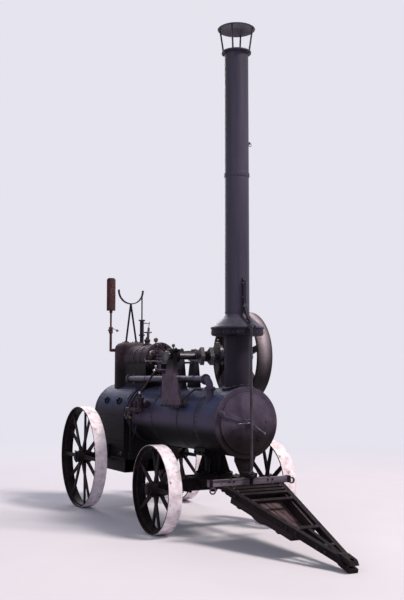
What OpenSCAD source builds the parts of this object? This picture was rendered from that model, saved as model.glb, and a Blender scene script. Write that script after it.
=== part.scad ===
// Portable steam engine on four iron wheels, with a folding chimney and a drawbar.
// Millimetres. +X is the smokebox end, +Y the engine's left side, +Z up.
// The origin is on the ground under the middle of the whole machine.
// Places along X are given from the front axle and moved by axle_x.

/* [Wheels and axles] */
// Distance between the front and rear axles
wheelbase = 2120; // [1900:10:2400]
// Radius of the front wheels
front_wheel_r = 443; // [380:1:480]
// Radius of the rear wheels
rear_wheel_r = 603; // [520:1:660]
// Width of a tyre
tyre_w = 145; // [100:1:170]
// Thickness of a tyre
tyre_t = 16; // [10:1:30]
// Half the distance between the outer faces of the tyres
half_track = 730; // [700:1:780]
// Spokes in a front wheel
front_spokes = 10; // [8:1:14]
// Spokes in a rear wheel
rear_spokes = 12; // [8:1:16]
// Radius of the wheel hubs
hub_r = 78; // [60:1:95]
// Length of the wheel hubs
hub_l = 190; // [150:1:200]
// Radius of the axle journals
journal_r = 30; // [22:1:38]
// Running clearance of a shaft in its hole, on the radius
run_gap = 0.05; // [0.02:0.01:0.09]

/* [Boiler] */
// Height of the boiler's axis
boiler_z = 1123; // [1080:1:1200]
// Radius of the boiler barrel
barrel_r = 332; // [300:1:345]
// Thickness of the lap bands round the barrel
band_t = 5; // [3:1:8]
// Front end of the barrel, from the front axle
barrel_front = 230; // [180:1:300]
// Back end of the barrel, from the front axle
barrel_back = -1560; // [-1600:1:-1500]
// Radius of the firebox's round top
firebox_r = 362; // [350:1:380]
// Length of the firebox
firebox_l = 960; // [800:1:1000]
// Bottom of the firebox shell
firebox_z0 = 590; // [560:1:640]
// Water space between the shell and the inner firebox
water_leg = 70; // [50:1:90]
// Radius of the fire hole
fire_hole_r = 150; // [120:1:170]
// Height of the fire hole
fire_hole_z = 930; // [880:1:1000]

/* [Smokebox] */
// Radius of the smokebox shell
smokebox_r = 343; // [338:1:360]
// Thickness of the smokebox plate
smokebox_t = 10; // [6:1:16]
// Length of the smokebox
smokebox_l = 425; // [380:1:480]
// Thickness of the front ring
front_ring_t = 20; // [12:1:30]
// Radius of the door
door_r = 296; // [270:1:310]
// How far the door bulges forward
door_dish = 42; // [20:1:60]

/* [Chimney] */
// Place of the chimney's axis, from the front axle
chimney_x = 500; // [480:1:520]
// Radius of the chimney pipe
chimney_r = 123; // [110:1:130]
// Thickness of the chimney plate
chimney_t = 6; // [4:1:10]
// Radius of the hinged drum
drum_r = 262; // [240:1:275]
// Bottom of the hinged drum
drum_z0 = 1990; // [1960:1:2020]
// Height of the fixed band of the drum
drum_h = 62; // [50:1:80]
// Height of the cone above the joint
cone_h = 140; // [100:1:180]
// Top of the chimney pipe
pipe_top = 4912; // [4600:1:5000]
// How far the rain cap's top stands above the pipe
cap_rise = 278; // [200:1:340]
// Radius of the rain cap
cap_r = 195; // [170:1:220]

/* [Engine] */
// Place of the crankshaft, from the front axle
crank_x = -270; // [-300:1:-240]
// Height of the crankshaft and the cylinder's axis
crank_z = 1790; // [1770:1:1810]
// Crank throw, half the stroke
throw = 120; // [100:1:130]
// Radius of the crankshaft
shaft_r = 34; // [28:1:40]
// Length of the connecting rod between its centres
rod_l = 630; // [600:1:660]
// Radius of the flywheel
flywheel_r = 500; // [450:1:520]
// Width of the flywheel's face
flywheel_w = 180; // [140:1:190]
// Middle of the flywheel, to the left of the boiler's axis
flywheel_y = 500; // [495:1:515]
// Radius of the cylinder casting
cylinder_r = 165; // [150:1:175]
// Distance of each bearing from the boiler's axis
bearing_y = 335; // [325:1:340]
// Radius of the eccentric's offset
ecc_throw = 35; // [25:1:40]

/* [Fore-carriage and drawbar] */
// Height of the turntable's joint face
turntable_z = 560; // [550:1:580]
// Radius of the turntable plates
turntable_r = 200; // [160:1:220]
// Place of the drawbar's hinge, from the front axle
hitch_x = 800; // [780:1:840]
// Height of the drawbar's hinge
hitch_z = 515; // [505:1:518]
// Length of the drawbar from its hinge to its tip
drawbar_l = 1625; // [1500:1:1800]
// Height of the drawbar's beams
beam_h = 64; // [60:1:80]
// Width of the drawbar's beams
beam_w = 52; // [46:1:60]
// Half the spread of the beams at the hinge
beam_y = 310; // [300:1:320]
// Half the length of the crossbar
crossbar_y = 460; // [420:1:500]
// Depth of the toolbox under the beams
box_depth = 83; // [60:1:110]
// Half the height of the drawbar's forged head
head_h = 50; // [44:1:56]

/* [Hidden] */
$fn = 64;
seat = 0.3;
// The middle of the machine's length is the origin.
drawbar_a = asin(hitch_z / sqrt(pow(drawbar_l, 2) + pow(head_h, 2))) - atan(head_h / drawbar_l);
head_nose = 30;
tip_x = hitch_x + drawbar_l * cos(drawbar_a) + (head_h - head_nose) * sin(drawbar_a);
rear_x = -wheelbase - rear_wheel_r;
axle_x = -(tip_x + rear_x) / 2;
shell_back = barrel_back - firebox_l;
smokebox_front = barrel_front + smokebox_l;
ring_front = smokebox_front + front_ring_t;
drum_z1 = drum_z0 + drum_h;
cylinder_front = crank_x - throw - rod_l - 290;
crosshead_x = crank_x - throw - rod_l;

// Everything is drawn from the front axle and moved to the frame's origin.
module at_axle() { translate([axle_x, 0, 0]) children(); }

// Round bars along the three axes, given by their ends.
module bar_x(r, x0, x1, y = 0, z = 0) {
    translate([x0, y, z]) rotate([0, 90, 0]) cylinder(r = r, h = x1 - x0);
}
module bar_y(r, y0, y1, x = 0, z = 0) {
    translate([x, y1, z]) rotate([90, 0, 0]) cylinder(r = r, h = y1 - y0);
}
module bar_z(r, z0, z1, x = 0, y = 0) {
    translate([x, y, z0]) cylinder(r = r, h = z1 - z0);
}
// A box given by its low and high corners.
module block(lo, hi) { translate(lo) cube(hi - lo); }
// A round rod between two points.
module rod(p, q, r) {
    d = q - p;
    translate(p) rotate([0, acos(d.z / norm(d)), atan2(d.y, d.x)]) cylinder(r = r, h = norm(d));
}
// A ball with small flats at its poles.
module ball(r) {
    flat = 0.97 * r;
    intersection() {
        rotate([0, 0, 90]) sphere(r = r);
        cube([3 * r, 3 * r, 2 * flat], center = true);
    }
}
// An outline in the X-Z plane, given a width along Y.
module plate_xz(y0, y1, points) {
    translate([0, y1, 0]) rotate([90, 0, 0]) linear_extrude(height = y1 - y0) polygon(points);
}
// A ring turned about X, between two radii.
module ring_x(r_in, r_out, x0, x1, y = 0, z = 0) {
    difference() {
        bar_x(r_out, x0, x1, y, z);
        bar_x(r_in, x0 - 1, x1 + 1, y, z);
    }
}

// Wheels: flat iron tyre, flat tapering spokes in two staggered rows, cast hub.
module wheel(r, spokes) {
    rib_t = 14;
    hub_in = hub_r - 12;
    spoke_root = 52;
    spoke_tip = 34;
    spoke_t = 18;
    spoke_y = 22;
    rotate([90, 0, 0]) {
        rotate_extrude() polygon([
            [r - tyre_t, -tyre_w / 2], [r, -tyre_w / 2], [r, tyre_w / 2], [r - tyre_t, tyre_w / 2],
            [r - tyre_t, 34], [r - tyre_t - rib_t, 28], [r - tyre_t - rib_t, -28], [r - tyre_t, -34]]);
        difference() {
            union() {
                translate([0, 0, -hub_l / 2]) cylinder(r = hub_in, h = hub_l);
                translate([0, 0, -52]) cylinder(r = hub_r, h = 104);
                for (i = [0 : spokes - 1])
                    rotate([0, 0, i * 360 / spokes])
                        translate([0, 0, (i % 2 == 0 ? spoke_y : -spoke_y) - spoke_t / 2])
                            linear_extrude(height = spoke_t)
                                polygon([[hub_in, -spoke_root / 2], [r - tyre_t - 6, -spoke_tip / 2],
                                         [r - tyre_t - 6, spoke_tip / 2], [hub_in, spoke_root / 2]]);
            }
            translate([0, 0, -hub_l]) cylinder(r = journal_r + run_gap, h = 2 * hub_l);
        }
    }
}
module placed_wheel(x, side, r, spokes) {
    color("#8f8487") at_axle()
        translate([x, side * (half_track - tyre_w / 2), r]) wheel(r, spokes);
}
module wheel_front_right() { placed_wheel(0, -1, front_wheel_r, front_spokes); }
module wheel_front_left() { placed_wheel(0, 1, front_wheel_r, front_spokes); }
module wheel_rear_right() { placed_wheel(-wheelbase, -1, rear_wheel_r, rear_spokes); }
module wheel_rear_left() { placed_wheel(-wheelbase, 1, rear_wheel_r, rear_spokes); }

// The stub and its cap that carry one wheel, on the side given.
hub_y0 = half_track - tyre_w / 2 - hub_l / 2;
hub_y1 = hub_y0 + hub_l;
module journal(x, z, y_root) {
    bar_y(journal_r, y_root, hub_y1 + 12, x, z);
    bar_y(journal_r + 16, y_root, hub_y0 - seat, x, z);
    bar_y(journal_r + 14, hub_y1 + seat, hub_y1 + 14, x, z);
}

// Rear stub axles on cast brackets bolted to the firebox sides.
module rear_axle() {
    bracket_h = 150;
    bracket_l = 300;
    foot_t = 30;
    color("#241f26") at_axle()
        for (side = [0, 1]) mirror([0, side, 0]) {
            journal(-wheelbase, rear_wheel_r, firebox_r + seat + foot_t - 5);
            block([-wheelbase - bracket_l / 2, firebox_r + seat, rear_wheel_r - 10],
                  [-wheelbase + bracket_l / 2, firebox_r + seat + foot_t, rear_wheel_r + bracket_h]);
            bar_y(75, firebox_r + seat, firebox_r + seat + foot_t + 30, -wheelbase, rear_wheel_r);
        }
}

// Boiler barrel with its lap bands, and tube holes in the front tube plate.
band_w = 46;
mid_band_x = -880;
module boiler_barrel() {
    tube_r = 27;
    tube_depth = 60;
    // columns: height from the boiler's axis, number of tubes in the row
    tube_rows = [[-150, 4], [-75, 5], [0, 6], [75, 5], [150, 4]];
    tube_pitch = 78;
    color("#2a2a38") at_axle() difference() {
        union() {
            bar_x(barrel_r, barrel_back, barrel_front, 0, boiler_z);
            for (x = [barrel_front - band_w, mid_band_x, barrel_back + 8])
                bar_x(barrel_r + band_t, x, x + band_w, 0, boiler_z);
        }
        for (row = tube_rows)
            for (k = [0 : row[1] - 1])
                bar_x(tube_r, barrel_front - tube_depth, barrel_front + 1,
                      (k - (row[1] - 1) / 2) * tube_pitch, boiler_z + row[0]);
    }
}

// Firebox shell: round top, straight sides, inner fire chamber and fire hole.
module shell_outline(r, z0) {
    translate([0, boiler_z]) circle(r);
    translate([-r, z0]) square([2 * r, boiler_z - z0]);
}
module firebox() {
    crown_z = boiler_z + 150;
    mud_ring = 60;
    color("#2b2b39") at_axle() difference() {
        translate([shell_back, 0, 0]) rotate([90, 0, 90])
            linear_extrude(height = firebox_l - seat) shell_outline(firebox_r, firebox_z0);
        block([shell_back + water_leg, -firebox_r + water_leg, firebox_z0 - 1],
              [barrel_back - water_leg, firebox_r - water_leg, crown_z]);
        bar_x(fire_hole_r, shell_back - 1, shell_back + water_leg + 1, 0, fire_hole_z);
        // corners of the foundation ring are rounded off
        for (side = [-1, 1]) translate([shell_back - 1, side * firebox_r, firebox_z0])
            rotate([45, 0, 0]) block([0, -mud_ring / 4, -mud_ring / 4],
                                     [firebox_l + 2, mud_ring / 4, mud_ring / 4]);
    }
}

// Ash pan: open at the front for the draught.
ash_pan_h = 150;
module ash_pan() {
    wall = 8;
    inset = 30;
    y = firebox_r - inset;
    x0 = shell_back + inset;
    x1 = barrel_back - inset;
    color("#1d1a20") at_axle() difference() {
        block([x0, -y, firebox_z0 - ash_pan_h], [x1, y, firebox_z0 - seat]);
        block([x0 + wall, -y + wall, firebox_z0 - ash_pan_h + wall], [x1 + 1, y - wall, firebox_z0]);
    }
}

// Fire door: round plate with a strap hinge on the right.
fire_door_t = 22;
fire_hinge_y = -fire_hole_r - 62;
fire_hinge_x = -28;
module fire_door() {
    plate_r = fire_hole_r + 22;
    color("#1f1c22") at_axle() translate([shell_back, 0, fire_hole_z]) {
        bar_x(plate_r, -seat - fire_door_t, -seat);
        bar_x(plate_r - 40, -seat - fire_door_t - 10, -seat - fire_door_t + 1);
        // strap and knuckle
        difference() {
            union() {
                block([-seat - fire_door_t - 12, fire_hinge_y, -24], [-seat - fire_door_t, 90, 24]);
                bar_z(20, -24, 24, fire_hinge_x, fire_hinge_y);
            }
            bar_z(9 + run_gap, -30, 30, fire_hinge_x, fire_hinge_y);
        }
        // latch handle
        bar_x(9, -seat - fire_door_t - 60, -seat - fire_door_t, plate_r - 45, 0);
        translate([-seat - fire_door_t - 60, plate_r - 45, 0]) rotate([0, 90, 0]) ball(18);
    }
}

// Fittings on the backhead: hinge pin, water gauge, pressure gauge, try cocks.
module backhead_fittings() {
    gauge_z = 1330;
    glass_y = 170;
    color("#6d5a34") at_axle() translate([shell_back, 0, 0]) {
        // hinge pin of the fire door between two lugs
        translate([0, 0, fire_hole_z]) {
            bar_z(9, -60, 60, fire_hinge_x, fire_hinge_y);
            for (s = [-1, 1])
                block([fire_hinge_x - 18, fire_hinge_y - 18, s * 42 - 16],
                      [-seat, fire_hinge_y + 18, s * 42 + 16]);
        }
        // pressure gauge on its pipe
        bar_x(15, -60, -seat, 0, gauge_z);
        bar_z(12, gauge_z, gauge_z + 70, -50, 0);
        bar_x(72, -72, -34, 0, gauge_z + 110);
        // water gauge
        for (s = [-1, 1]) bar_x(14, -52, -seat, glass_y, boiler_z + 80 + s * 110);
        bar_z(9, boiler_z - 50, boiler_z + 210, -45, glass_y);
        // try cocks
        for (k = [0, 1, 2]) {
            bar_x(13, -60, -seat, -glass_y - 20, boiler_z + 20 + k * 75);
            bar_z(8, boiler_z - 10 + k * 75, boiler_z + 20 + k * 75, -54, -glass_y - 20);
        }
    }
}

// Smokebox shell with the hole for the chimney base and the ash hole closed.
flue_r = chimney_r - chimney_t;
module smokebox() {
    color("#2a2a38") at_axle() difference() {
        bar_x(smokebox_r, barrel_front + seat, smokebox_front, 0, boiler_z);
        bar_x(smokebox_r - smokebox_t, barrel_front - 1, smokebox_front + 1, 0, boiler_z);
        bar_z(flue_r, boiler_z, boiler_z + smokebox_r + 10, chimney_x);
    }
}

// Front plate with the one pin of the door, which swings in the plane of its face.
door_pin = [0, -289, 92];
door_pin_r = 14;
door_eye_t = 42;
module smokebox_front() {
    mouth_r = door_r - 34;
    head_r = 24;
    head_t = 10;
    head_x = door_eye_t + 2 * seat;
    color("#322c33") at_axle() {
        ring_x(mouth_r, smokebox_r + 8, smokebox_front + seat, ring_front, 0, boiler_z);
        translate([ring_front, door_pin.y, boiler_z + door_pin.z]) {
            bar_x(door_pin_r, -1, head_x + head_t);
            bar_x(head_r, head_x, head_x + head_t);
        }
    }
}

// Dished door, hung from the pin by an arm that slants to its middle.
door_rim_t = 16;
door_plate_t = 12;
door_boss_t = 12;
module smokebox_door() {
    edge = 12;
    bulge_r = (pow(door_r - edge, 2) + pow(door_dish, 2)) / (2 * door_dish);
    crown = door_rim_t + door_dish;
    boss_r = 40;
    boss_back = 10;
    eye_r = 32;
    arm_w = 42;
    arm_l = norm(door_pin);
    color("#2e2930") at_axle() translate([ring_front + seat, 0, boiler_z]) difference() {
        union() {
            rotate([0, 90, 0]) rotate_extrude() {
                difference() {
                    union() {
                        square([door_r, door_rim_t]);
                        intersection() {
                            translate([0, crown - bulge_r]) circle(bulge_r);
                            translate([0, door_rim_t - 1]) square([door_r - edge, door_dish + 2]);
                        }
                    }
                    intersection() {
                        translate([0, crown - bulge_r - door_plate_t]) circle(bulge_r);
                        translate([0, -1]) square([door_r - 44, crown]);
                    }
                    translate([-2 * bulge_r, -2 * bulge_r]) square([2 * bulge_r, 4 * bulge_r]);
                }
                translate([0, crown - door_plate_t - boss_back])
                    square([boss_r, door_plate_t + boss_back + door_boss_t]);
            }
            // arm: columns are the height over the door's seat and the distance from the pin
            translate(door_pin) rotate([atan2(-door_pin.z, -door_pin.y), 0, 0])
                translate([0, 0, -arm_w / 2]) linear_extrude(height = arm_w) polygon([
                    [4, 0], [12, 40], [30, 103], [46, 203], [crown - 6, arm_l],
                    [crown + 8, arm_l], [crown + 6, 190], [door_eye_t, 24], [door_eye_t, 0]]);
            bar_x(eye_r, 0, door_eye_t, door_pin.y, door_pin.z);
        }
        bar_x(door_pin_r + run_gap, -1, crown + door_boss_t, door_pin.y, door_pin.z);
    }
}

// Centre dart with its two handles.
module door_handles() {
    x0 = ring_front + door_rim_t + door_dish + door_boss_t + 2 * seat;
    color("#6b6570") at_axle() translate([x0, 0, boiler_z]) {
        bar_x(20, 0, 26);
        rod([20, 0, 0], [16, -142, -6], 8);
        rod([10, 0, 0], [4, 160, -106], 8);
    }
}

// Fixed chimney stub on its saddle, and the lower half of the hinged drum.
module chimney_base() {
    saddle_r = chimney_r + 34;
    saddle_h = 26;
    lug_w = 44;
    color("#2d2a36") at_axle() {
        difference() {
            union() {
                intersection() {
                    bar_z(saddle_r, boiler_z, boiler_z + smokebox_r + 60, chimney_x);
                    bar_x(smokebox_r + seat + saddle_h, barrel_front, smokebox_front, 0, boiler_z);
                }
                bar_z(chimney_r + 6, boiler_z + smokebox_r - 30, drum_z0 + 4, chimney_x);
                translate([chimney_x, 0, 0]) rotate_extrude() polygon([
                    [chimney_r, drum_z0 - 16], [drum_r - 14, drum_z0 - 8], [drum_r, drum_z0],
                    [drum_r, drum_z1 - seat], [drum_r - 8, drum_z1 - seat], [drum_r - 8, drum_z0 + 10],
                    [chimney_r, drum_z0 + 4]]);
                // hinge lugs at the back
                for (s = [-1, 1])
                    block([chimney_x - drum_r - 34, s * 62 - lug_w / 2, drum_z0 + 2],
                          [chimney_x - drum_r + 4, s * 62 + lug_w / 2, drum_z1 - 4]);
                for (s = [-1, 1])
                    bar_y(20, s * 62 - lug_w / 2, s * 62 + lug_w / 2, chimney_x - drum_r - 30, drum_z1);
            }
            bar_x(smokebox_r + seat, barrel_front - 100, smokebox_front + 100, 0, boiler_z);
            bar_z(flue_r, boiler_z, drum_z1 + 10, chimney_x);
            bar_y(12 + run_gap, -120, 120, chimney_x - drum_r - 30, drum_z1);
        }
    }
}
hinge_back_x = chimney_x - drum_r - 30;

// Hinged upper chimney: cone of the drum, pipe, seam collar, top lip and a side lug.
module chimney_pipe() {
    seam_z = pipe_top - 1313;
    lug_z = pipe_top - 952;
    color("#2c2a37") at_axle() {
        translate([chimney_x, 0, 0]) rotate_extrude() polygon([
            [flue_r, drum_z1], [drum_r + 6, drum_z1], [drum_r + 6, drum_z1 + 14],
            [drum_r - 22, drum_z1 + 34], [chimney_r + 22, drum_z1 + cone_h - 30],
            [chimney_r, drum_z1 + cone_h], [chimney_r, seam_z], [chimney_r + 5, seam_z],
            [chimney_r + 5, seam_z + 40], [chimney_r, seam_z + 40],
            [chimney_r, pipe_top - 14], [chimney_r + 30, pipe_top - 14], [chimney_r + 30, pipe_top],
            [flue_r, pipe_top]]);
        // hinge knuckle at the back
        bar_y(20, -38, 38, hinge_back_x, drum_z1);
        block([hinge_back_x, -38, drum_z1 + 1], [chimney_x - drum_r + 10, 38, drum_z1 + 16]);
        bar_y(12, -100, 100, hinge_back_x, drum_z1);
        // small lug on the left side, where a guy rope would be hooked
        block([chimney_x - 8, chimney_r - 3, lug_z], [chimney_x + 8, chimney_r + 34, lug_z + 24]);
    }
}

// Rain cap on four splayed stays.
module chimney_cap() {
    stay_r = 9;
    disc_z = pipe_top + cap_rise - 42;
    color("#26242c") at_axle() {
        difference() {
            for (a = [45 : 90 : 315])
                rod([chimney_x + (chimney_r + 12) * cos(a), (chimney_r + 12) * sin(a), pipe_top - 8],
                    [chimney_x + (cap_r - 22) * cos(a), (cap_r - 22) * sin(a), disc_z + 8], stay_r);
            bar_z(cap_r, pipe_top - 40, pipe_top + seat, chimney_x);
        }
        translate([chimney_x, 0, 0]) rotate_extrude() polygon([
            [0, disc_z + 30], [8, disc_z + 30], [cap_r - 30, disc_z + 2], [cap_r - 6, disc_z],
            [cap_r, disc_z + 6],
            [cap_r - 10, disc_z + 14], [8, disc_z + 42], [0, disc_z + 42]]);
    }
}

// Bent lever on the front of the chimney, from its eye down to the rim of the drum.
lever_hub_r = 14;
lever_hub_x = chimney_x + drum_r + 7 + lever_hub_r;
module chimney_lever() {
    t = 14;
    hub_z = drum_z1 + 8;
    top_z = drum_z1 + 508;
    color("#23202a") at_axle() {
        plate_xz(-t, t, [
            [chimney_x + chimney_r + seat, top_z], [chimney_x + chimney_r + 26, top_z - 30],
            [chimney_x + chimney_r + 30, top_z - 260], [chimney_x + chimney_r + 70, top_z - 360],
            [lever_hub_x + 10, drum_z1 + 30], [lever_hub_x + 10, hub_z - 10],
            [chimney_x + drum_r + 6 + seat, hub_z - 10],
            [chimney_x + drum_r + 6 + seat, drum_z1 + 24],
            [chimney_x + chimney_r + 46, drum_z1 + cone_h + 6],
            [chimney_x + chimney_r + seat, top_z - 290]]);
        bar_y(lever_hub_r, -34, 34, lever_hub_x, hub_z);
    }
}

// Tie rod in front of the smokebox, swung on a pin at its foot.
rod_foot_z = 646;
rod_x = lever_hub_x + 32;
rod_y = -28;
module tie_rod() {
    r = 13;
    top_z = drum_z1 + 8;
    color("#5d545a") at_axle() difference() {
        union() {
            bar_z(r, rod_foot_z, top_z, rod_x, rod_y);
            bar_x(26, rod_x - 13, rod_x + 13, rod_y, rod_foot_z);
            bar_x(24, rod_x - 13, rod_x + 13, rod_y, top_z);
        }
        bar_x(12 + run_gap, rod_x - 30, rod_x + 30, rod_y, rod_foot_z);
    }
}

// Bracket under the smokebox front that carries the foot of the tie rod.
module tie_rod_bracket() {
    y = 45;
    foot_x0 = smokebox_front - 150;
    // the arm stays under the path of the open door
    arm_z0 = 601;
    arm_z1 = rod_foot_z;
    step_x = smokebox_front - 8;
    color("#1f1c22") at_axle() {
        difference() {
            plate_xz(-y, y, [
                [foot_x0, boiler_z - smokebox_r + 60], [foot_x0, boiler_z - smokebox_r - 40],
                [smokebox_front - 70, 650], [step_x - 20, arm_z0], [rod_x - 18, arm_z0],
                [rod_x - 18, arm_z1], [step_x, arm_z1], [step_x, boiler_z - smokebox_r + 60]]);
            bar_x(smokebox_r + seat, 0, smokebox_front + 100, 0, boiler_z);
            bar_x(smokebox_r + 8 + seat, smokebox_front, ring_front + 20, 0, boiler_z);
        }
        bar_x(12, rod_x - 20, rod_x + 22, rod_y, rod_foot_z);
    }
}

// Crutch that takes the folded chimney: two legs and an open U.
crutch_x = -2220;
crutch_z = 2508;
module chimney_crutch() {
    u_r = 160;
    t = 13;
    color("#26232b") at_axle() {
        translate([crutch_x, 0, crutch_z + u_r]) rotate([90, 0, 90])
            translate([0, 0, -18]) linear_extrude(height = 36) difference() {
                circle(u_r + t);
                circle(u_r);
                translate([-u_r - t - 1, 10]) square([2 * (u_r + t) + 2, 2 * u_r]);
            }
        for (s = [-1, 1]) {
            rod([crutch_x, 0, crutch_z - 4], [crutch_x + 20, s * 70, dome_top + 10], 12);
            bar_z(24, dome_top + seat, dome_top + 20, crutch_x + 20, s * 70);
        }
    }
}

// Cylinder casting on its saddle over the firebox, with the rounded regulator dome.
cylinder_saddle_y = 150;
dome_r = 210;
dome_back = 880;
dome_rise = 45;
dome_sunk = 120;
dome_x = cylinder_front - dome_back;
dome_top = crank_z + cylinder_r + dome_rise;
module cylinder_block() {
    dome_z0 = boiler_z + firebox_r - dome_sunk;
    shoulder = 85;
    color("#3a2f36") at_axle() {
        difference() {
            union() {
                bar_x(cylinder_r, dome_x, cylinder_front, 0, crank_z);
                bar_x(cylinder_r + 22, cylinder_front - 30, cylinder_front, 0, crank_z);
                translate([dome_x, 0, 0]) rotate_extrude() {
                    translate([0, dome_z0]) square([dome_r, dome_top - shoulder - dome_z0]);
                    translate([0, dome_z0]) square([dome_r - shoulder, dome_top - dome_z0]);
                    translate([dome_r - shoulder, dome_top - shoulder]) circle(shoulder);
                }
                block([dome_x, -cylinder_saddle_y, boiler_z + firebox_r - 60],
                      [cylinder_front - 100, cylinder_saddle_y, crank_z]);
            }
            bar_x(firebox_r + seat, shell_back - 100, barrel_back, 0, boiler_z);
            bar_x(barrel_r + band_t + seat, barrel_back - 1, 0, 0, boiler_z);
        }
    }
}

// Front cover with its stuffing box.
module cylinder_cover() {
    bolt_ring = cylinder_r - 4;
    color("#40393f") at_axle() difference() {
        union() {
            bar_x(cylinder_r + 14, cylinder_front + seat, cylinder_front + 26, 0, crank_z);
            bar_x(52, cylinder_front + 20, cylinder_front + 78, 0, crank_z);
            bar_x(64, cylinder_front + 66, cylinder_front + 78, 0, crank_z);
            for (a = [22.5 : 45 : 360])
                bar_x(11, cylinder_front + 24, cylinder_front + 38,
                      bolt_ring * cos(a), crank_z + bolt_ring * sin(a));
        }
        bar_x(20 + run_gap, cylinder_front - 10, cylinder_front + 100, 0, crank_z);
    }
}

// Valve chest on the left of the cylinder.
valve_y = 200;
module valve_chest() {
    color("#3a3137") at_axle() difference() {
        union() {
            block([cylinder_front - 470, cylinder_saddle_y + seat, crank_z - 90],
                  [cylinder_front - 110, valve_y + 62, crank_z + 90]);
            bar_x(24, cylinder_front - 112, cylinder_front - 60, valve_y, crank_z + ecc_throw);
        }
        bar_x(cylinder_r + seat, dome_x, cylinder_front, 0, crank_z);
    }
}

// Four slide bars from the cylinder cover to the motion bracket.
slide_y = [56, 94];
slide_z = [50, 72];
guide_run_out = 150;
motion_x = crank_x - throw - rod_l + 2 * throw + guide_run_out;
module slide_bars() {
    color("#55525a") at_axle()
        for (side = [0, 1]) mirror([0, side, 0])
            for (s = [-1, 1])
                block([cylinder_front + 26 + seat, slide_y[0], crank_z + (s > 0 ? slide_z[0] : -slide_z[1])],
                      [motion_x + 40, slide_y[1], crank_z + (s > 0 ? slide_z[1] : -slide_z[0])]);
}

// Crosshead with two slippers, open in the middle for the rod's eye, and the piston rod.
module crosshead() {
    x = crosshead_x;
    color("#6a666e") at_axle() {
        for (side = [0, 1]) mirror([0, side, 0])
            block([x - 120, 38, crank_z - slide_z[0] + seat],
                  [x + 60, slide_y[1] - 6, crank_z + slide_z[0] - seat]);
        block([x - 120, -39, crank_z - 40], [x - 70, 39, crank_z + 40]);
        bar_x(20, cylinder_front + seat, x - 119, 0, crank_z);
    }
}

// Motion bracket: two uprights from the barrel, open between them for the rod.
module motion_bracket() {
    color("#2a2730") at_axle() for (side = [0, 1]) mirror([0, side, 0]) difference() {
        plate_xz(slide_y[0], slide_y[1] + 24, [
            [motion_x - 120, boiler_z + barrel_r - 60], [motion_x + 130, boiler_z + barrel_r - 60],
            [motion_x + 40, crank_z + 86], [motion_x, crank_z + 86]]);
        bar_x(barrel_r + seat, barrel_back, barrel_front, 0, boiler_z);
        block([motion_x - 60, slide_y[0] - 1, crank_z - slide_z[1] - seat],
              [motion_x + 40 + seat, slide_y[1] + seat, crank_z - slide_z[0] + seat]);
        block([motion_x - 60, slide_y[0] - 1, crank_z + slide_z[0] - seat],
              [motion_x + 40 + seat, slide_y[1] + seat, crank_z + slide_z[1] + seat]);
    }
}

// Connecting rod: big end round the crank pin, tapering shank, small end with its gudgeon pin.
crank_pin_r = 30;
module connecting_rod() {
    w = 28;
    px = crank_x - throw;
    color("#76717a") at_axle() difference() {
        union() {
            plate_xz(-14, 14, [
                [px, crank_z - 34], [crosshead_x, crank_z - 22],
                [crosshead_x, crank_z + 22], [px, crank_z + 34]]);
            bar_y(52, -w, w, px, crank_z);
            bar_y(34, -w + 4, w - 4, crosshead_x, crank_z);
            bar_y(16, -35, 35, crosshead_x, crank_z);
            block([px - 20, -w, crank_z - 62], [px + 20, w, crank_z + 62]);
        }
        bar_y(crank_pin_r + run_gap, -w - 10, w + 10, px, crank_z);
    }
}

// Crankshaft with two webs, the crank pin and the eccentric sheave.
web_y = [34, 78];
ecc_y = 200;
module crankshaft() {
    sheave_r = 82;
    color("#6f6a73") at_axle() {
        bar_y(crank_pin_r, -web_y[0] - 2, web_y[0] + 2, crank_x - throw, crank_z);
        for (side = [0, 1]) mirror([0, side, 0])
            intersection() {
                plate_xz(web_y[0], web_y[1], [
                    [crank_x - throw - 52, crank_z - 44], [crank_x + 60, crank_z - 58],
                    [crank_x + 120, crank_z - 96],
                    [crank_x + 150, crank_z], [crank_x + 120, crank_z + 96],
                    [crank_x + 60, crank_z + 58], [crank_x - throw - 52, crank_z + 44]]);
                bar_y(throw + 52, web_y[0] - 1, web_y[1] + 1, crank_x, crank_z);
            }
        bar_y(shaft_r, -bearing_y - 90, -web_y[1] + 2, crank_x, crank_z);
        bar_y(shaft_r, web_y[1] - 2, flywheel_y + 130, crank_x, crank_z);
        bar_y(sheave_r, ecc_y - 22, ecc_y + 22, crank_x, crank_z + ecc_throw);
    }
}

// Eccentric strap and rod, with its own pin in the fork of the valve spindle.
valve_eye_x = crosshead_x - 60;
module eccentric_rod() {
    strap_r = 82 + run_gap;
    color("#5f5a62") at_axle() difference() {
        union() {
            bar_y(strap_r + 20, ecc_y - 18, ecc_y + 18, crank_x, crank_z + ecc_throw);
            plate_xz(ecc_y - 9, ecc_y + 9, [
                [crank_x - 90, crank_z + ecc_throw - 26], [crank_x - 90, crank_z + ecc_throw + 26],
                [valve_eye_x, crank_z + ecc_throw + 10], [valve_eye_x, crank_z + ecc_throw - 10]]);
            bar_y(20, ecc_y - 9, ecc_y + 9, valve_eye_x, crank_z + ecc_throw);
            bar_y(9, ecc_y - 11, ecc_y + 11, valve_eye_x, crank_z + ecc_throw);
        }
        bar_y(strap_r, ecc_y - 40, ecc_y + 40, crank_x, crank_z + ecc_throw);
    }
}

// Valve spindle with its forked end and pin.
module valve_rod() {
    z = crank_z + ecc_throw;
    color("#6a666e") at_axle() {
        bar_x(11, cylinder_front - 60 + seat, valve_eye_x - 70, valve_y, z);
        block([valve_eye_x - 92, valve_y - 24, z - 16], [valve_eye_x - 68, valve_y + 24, z + 16]);
        for (s = [-1, 1])
            block([valve_eye_x - 69, valve_y + s * 18 - 6, z - 14],
                  [valve_eye_x + 14, valve_y + s * 18 + 6, z + 14]);
    }
}

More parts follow.
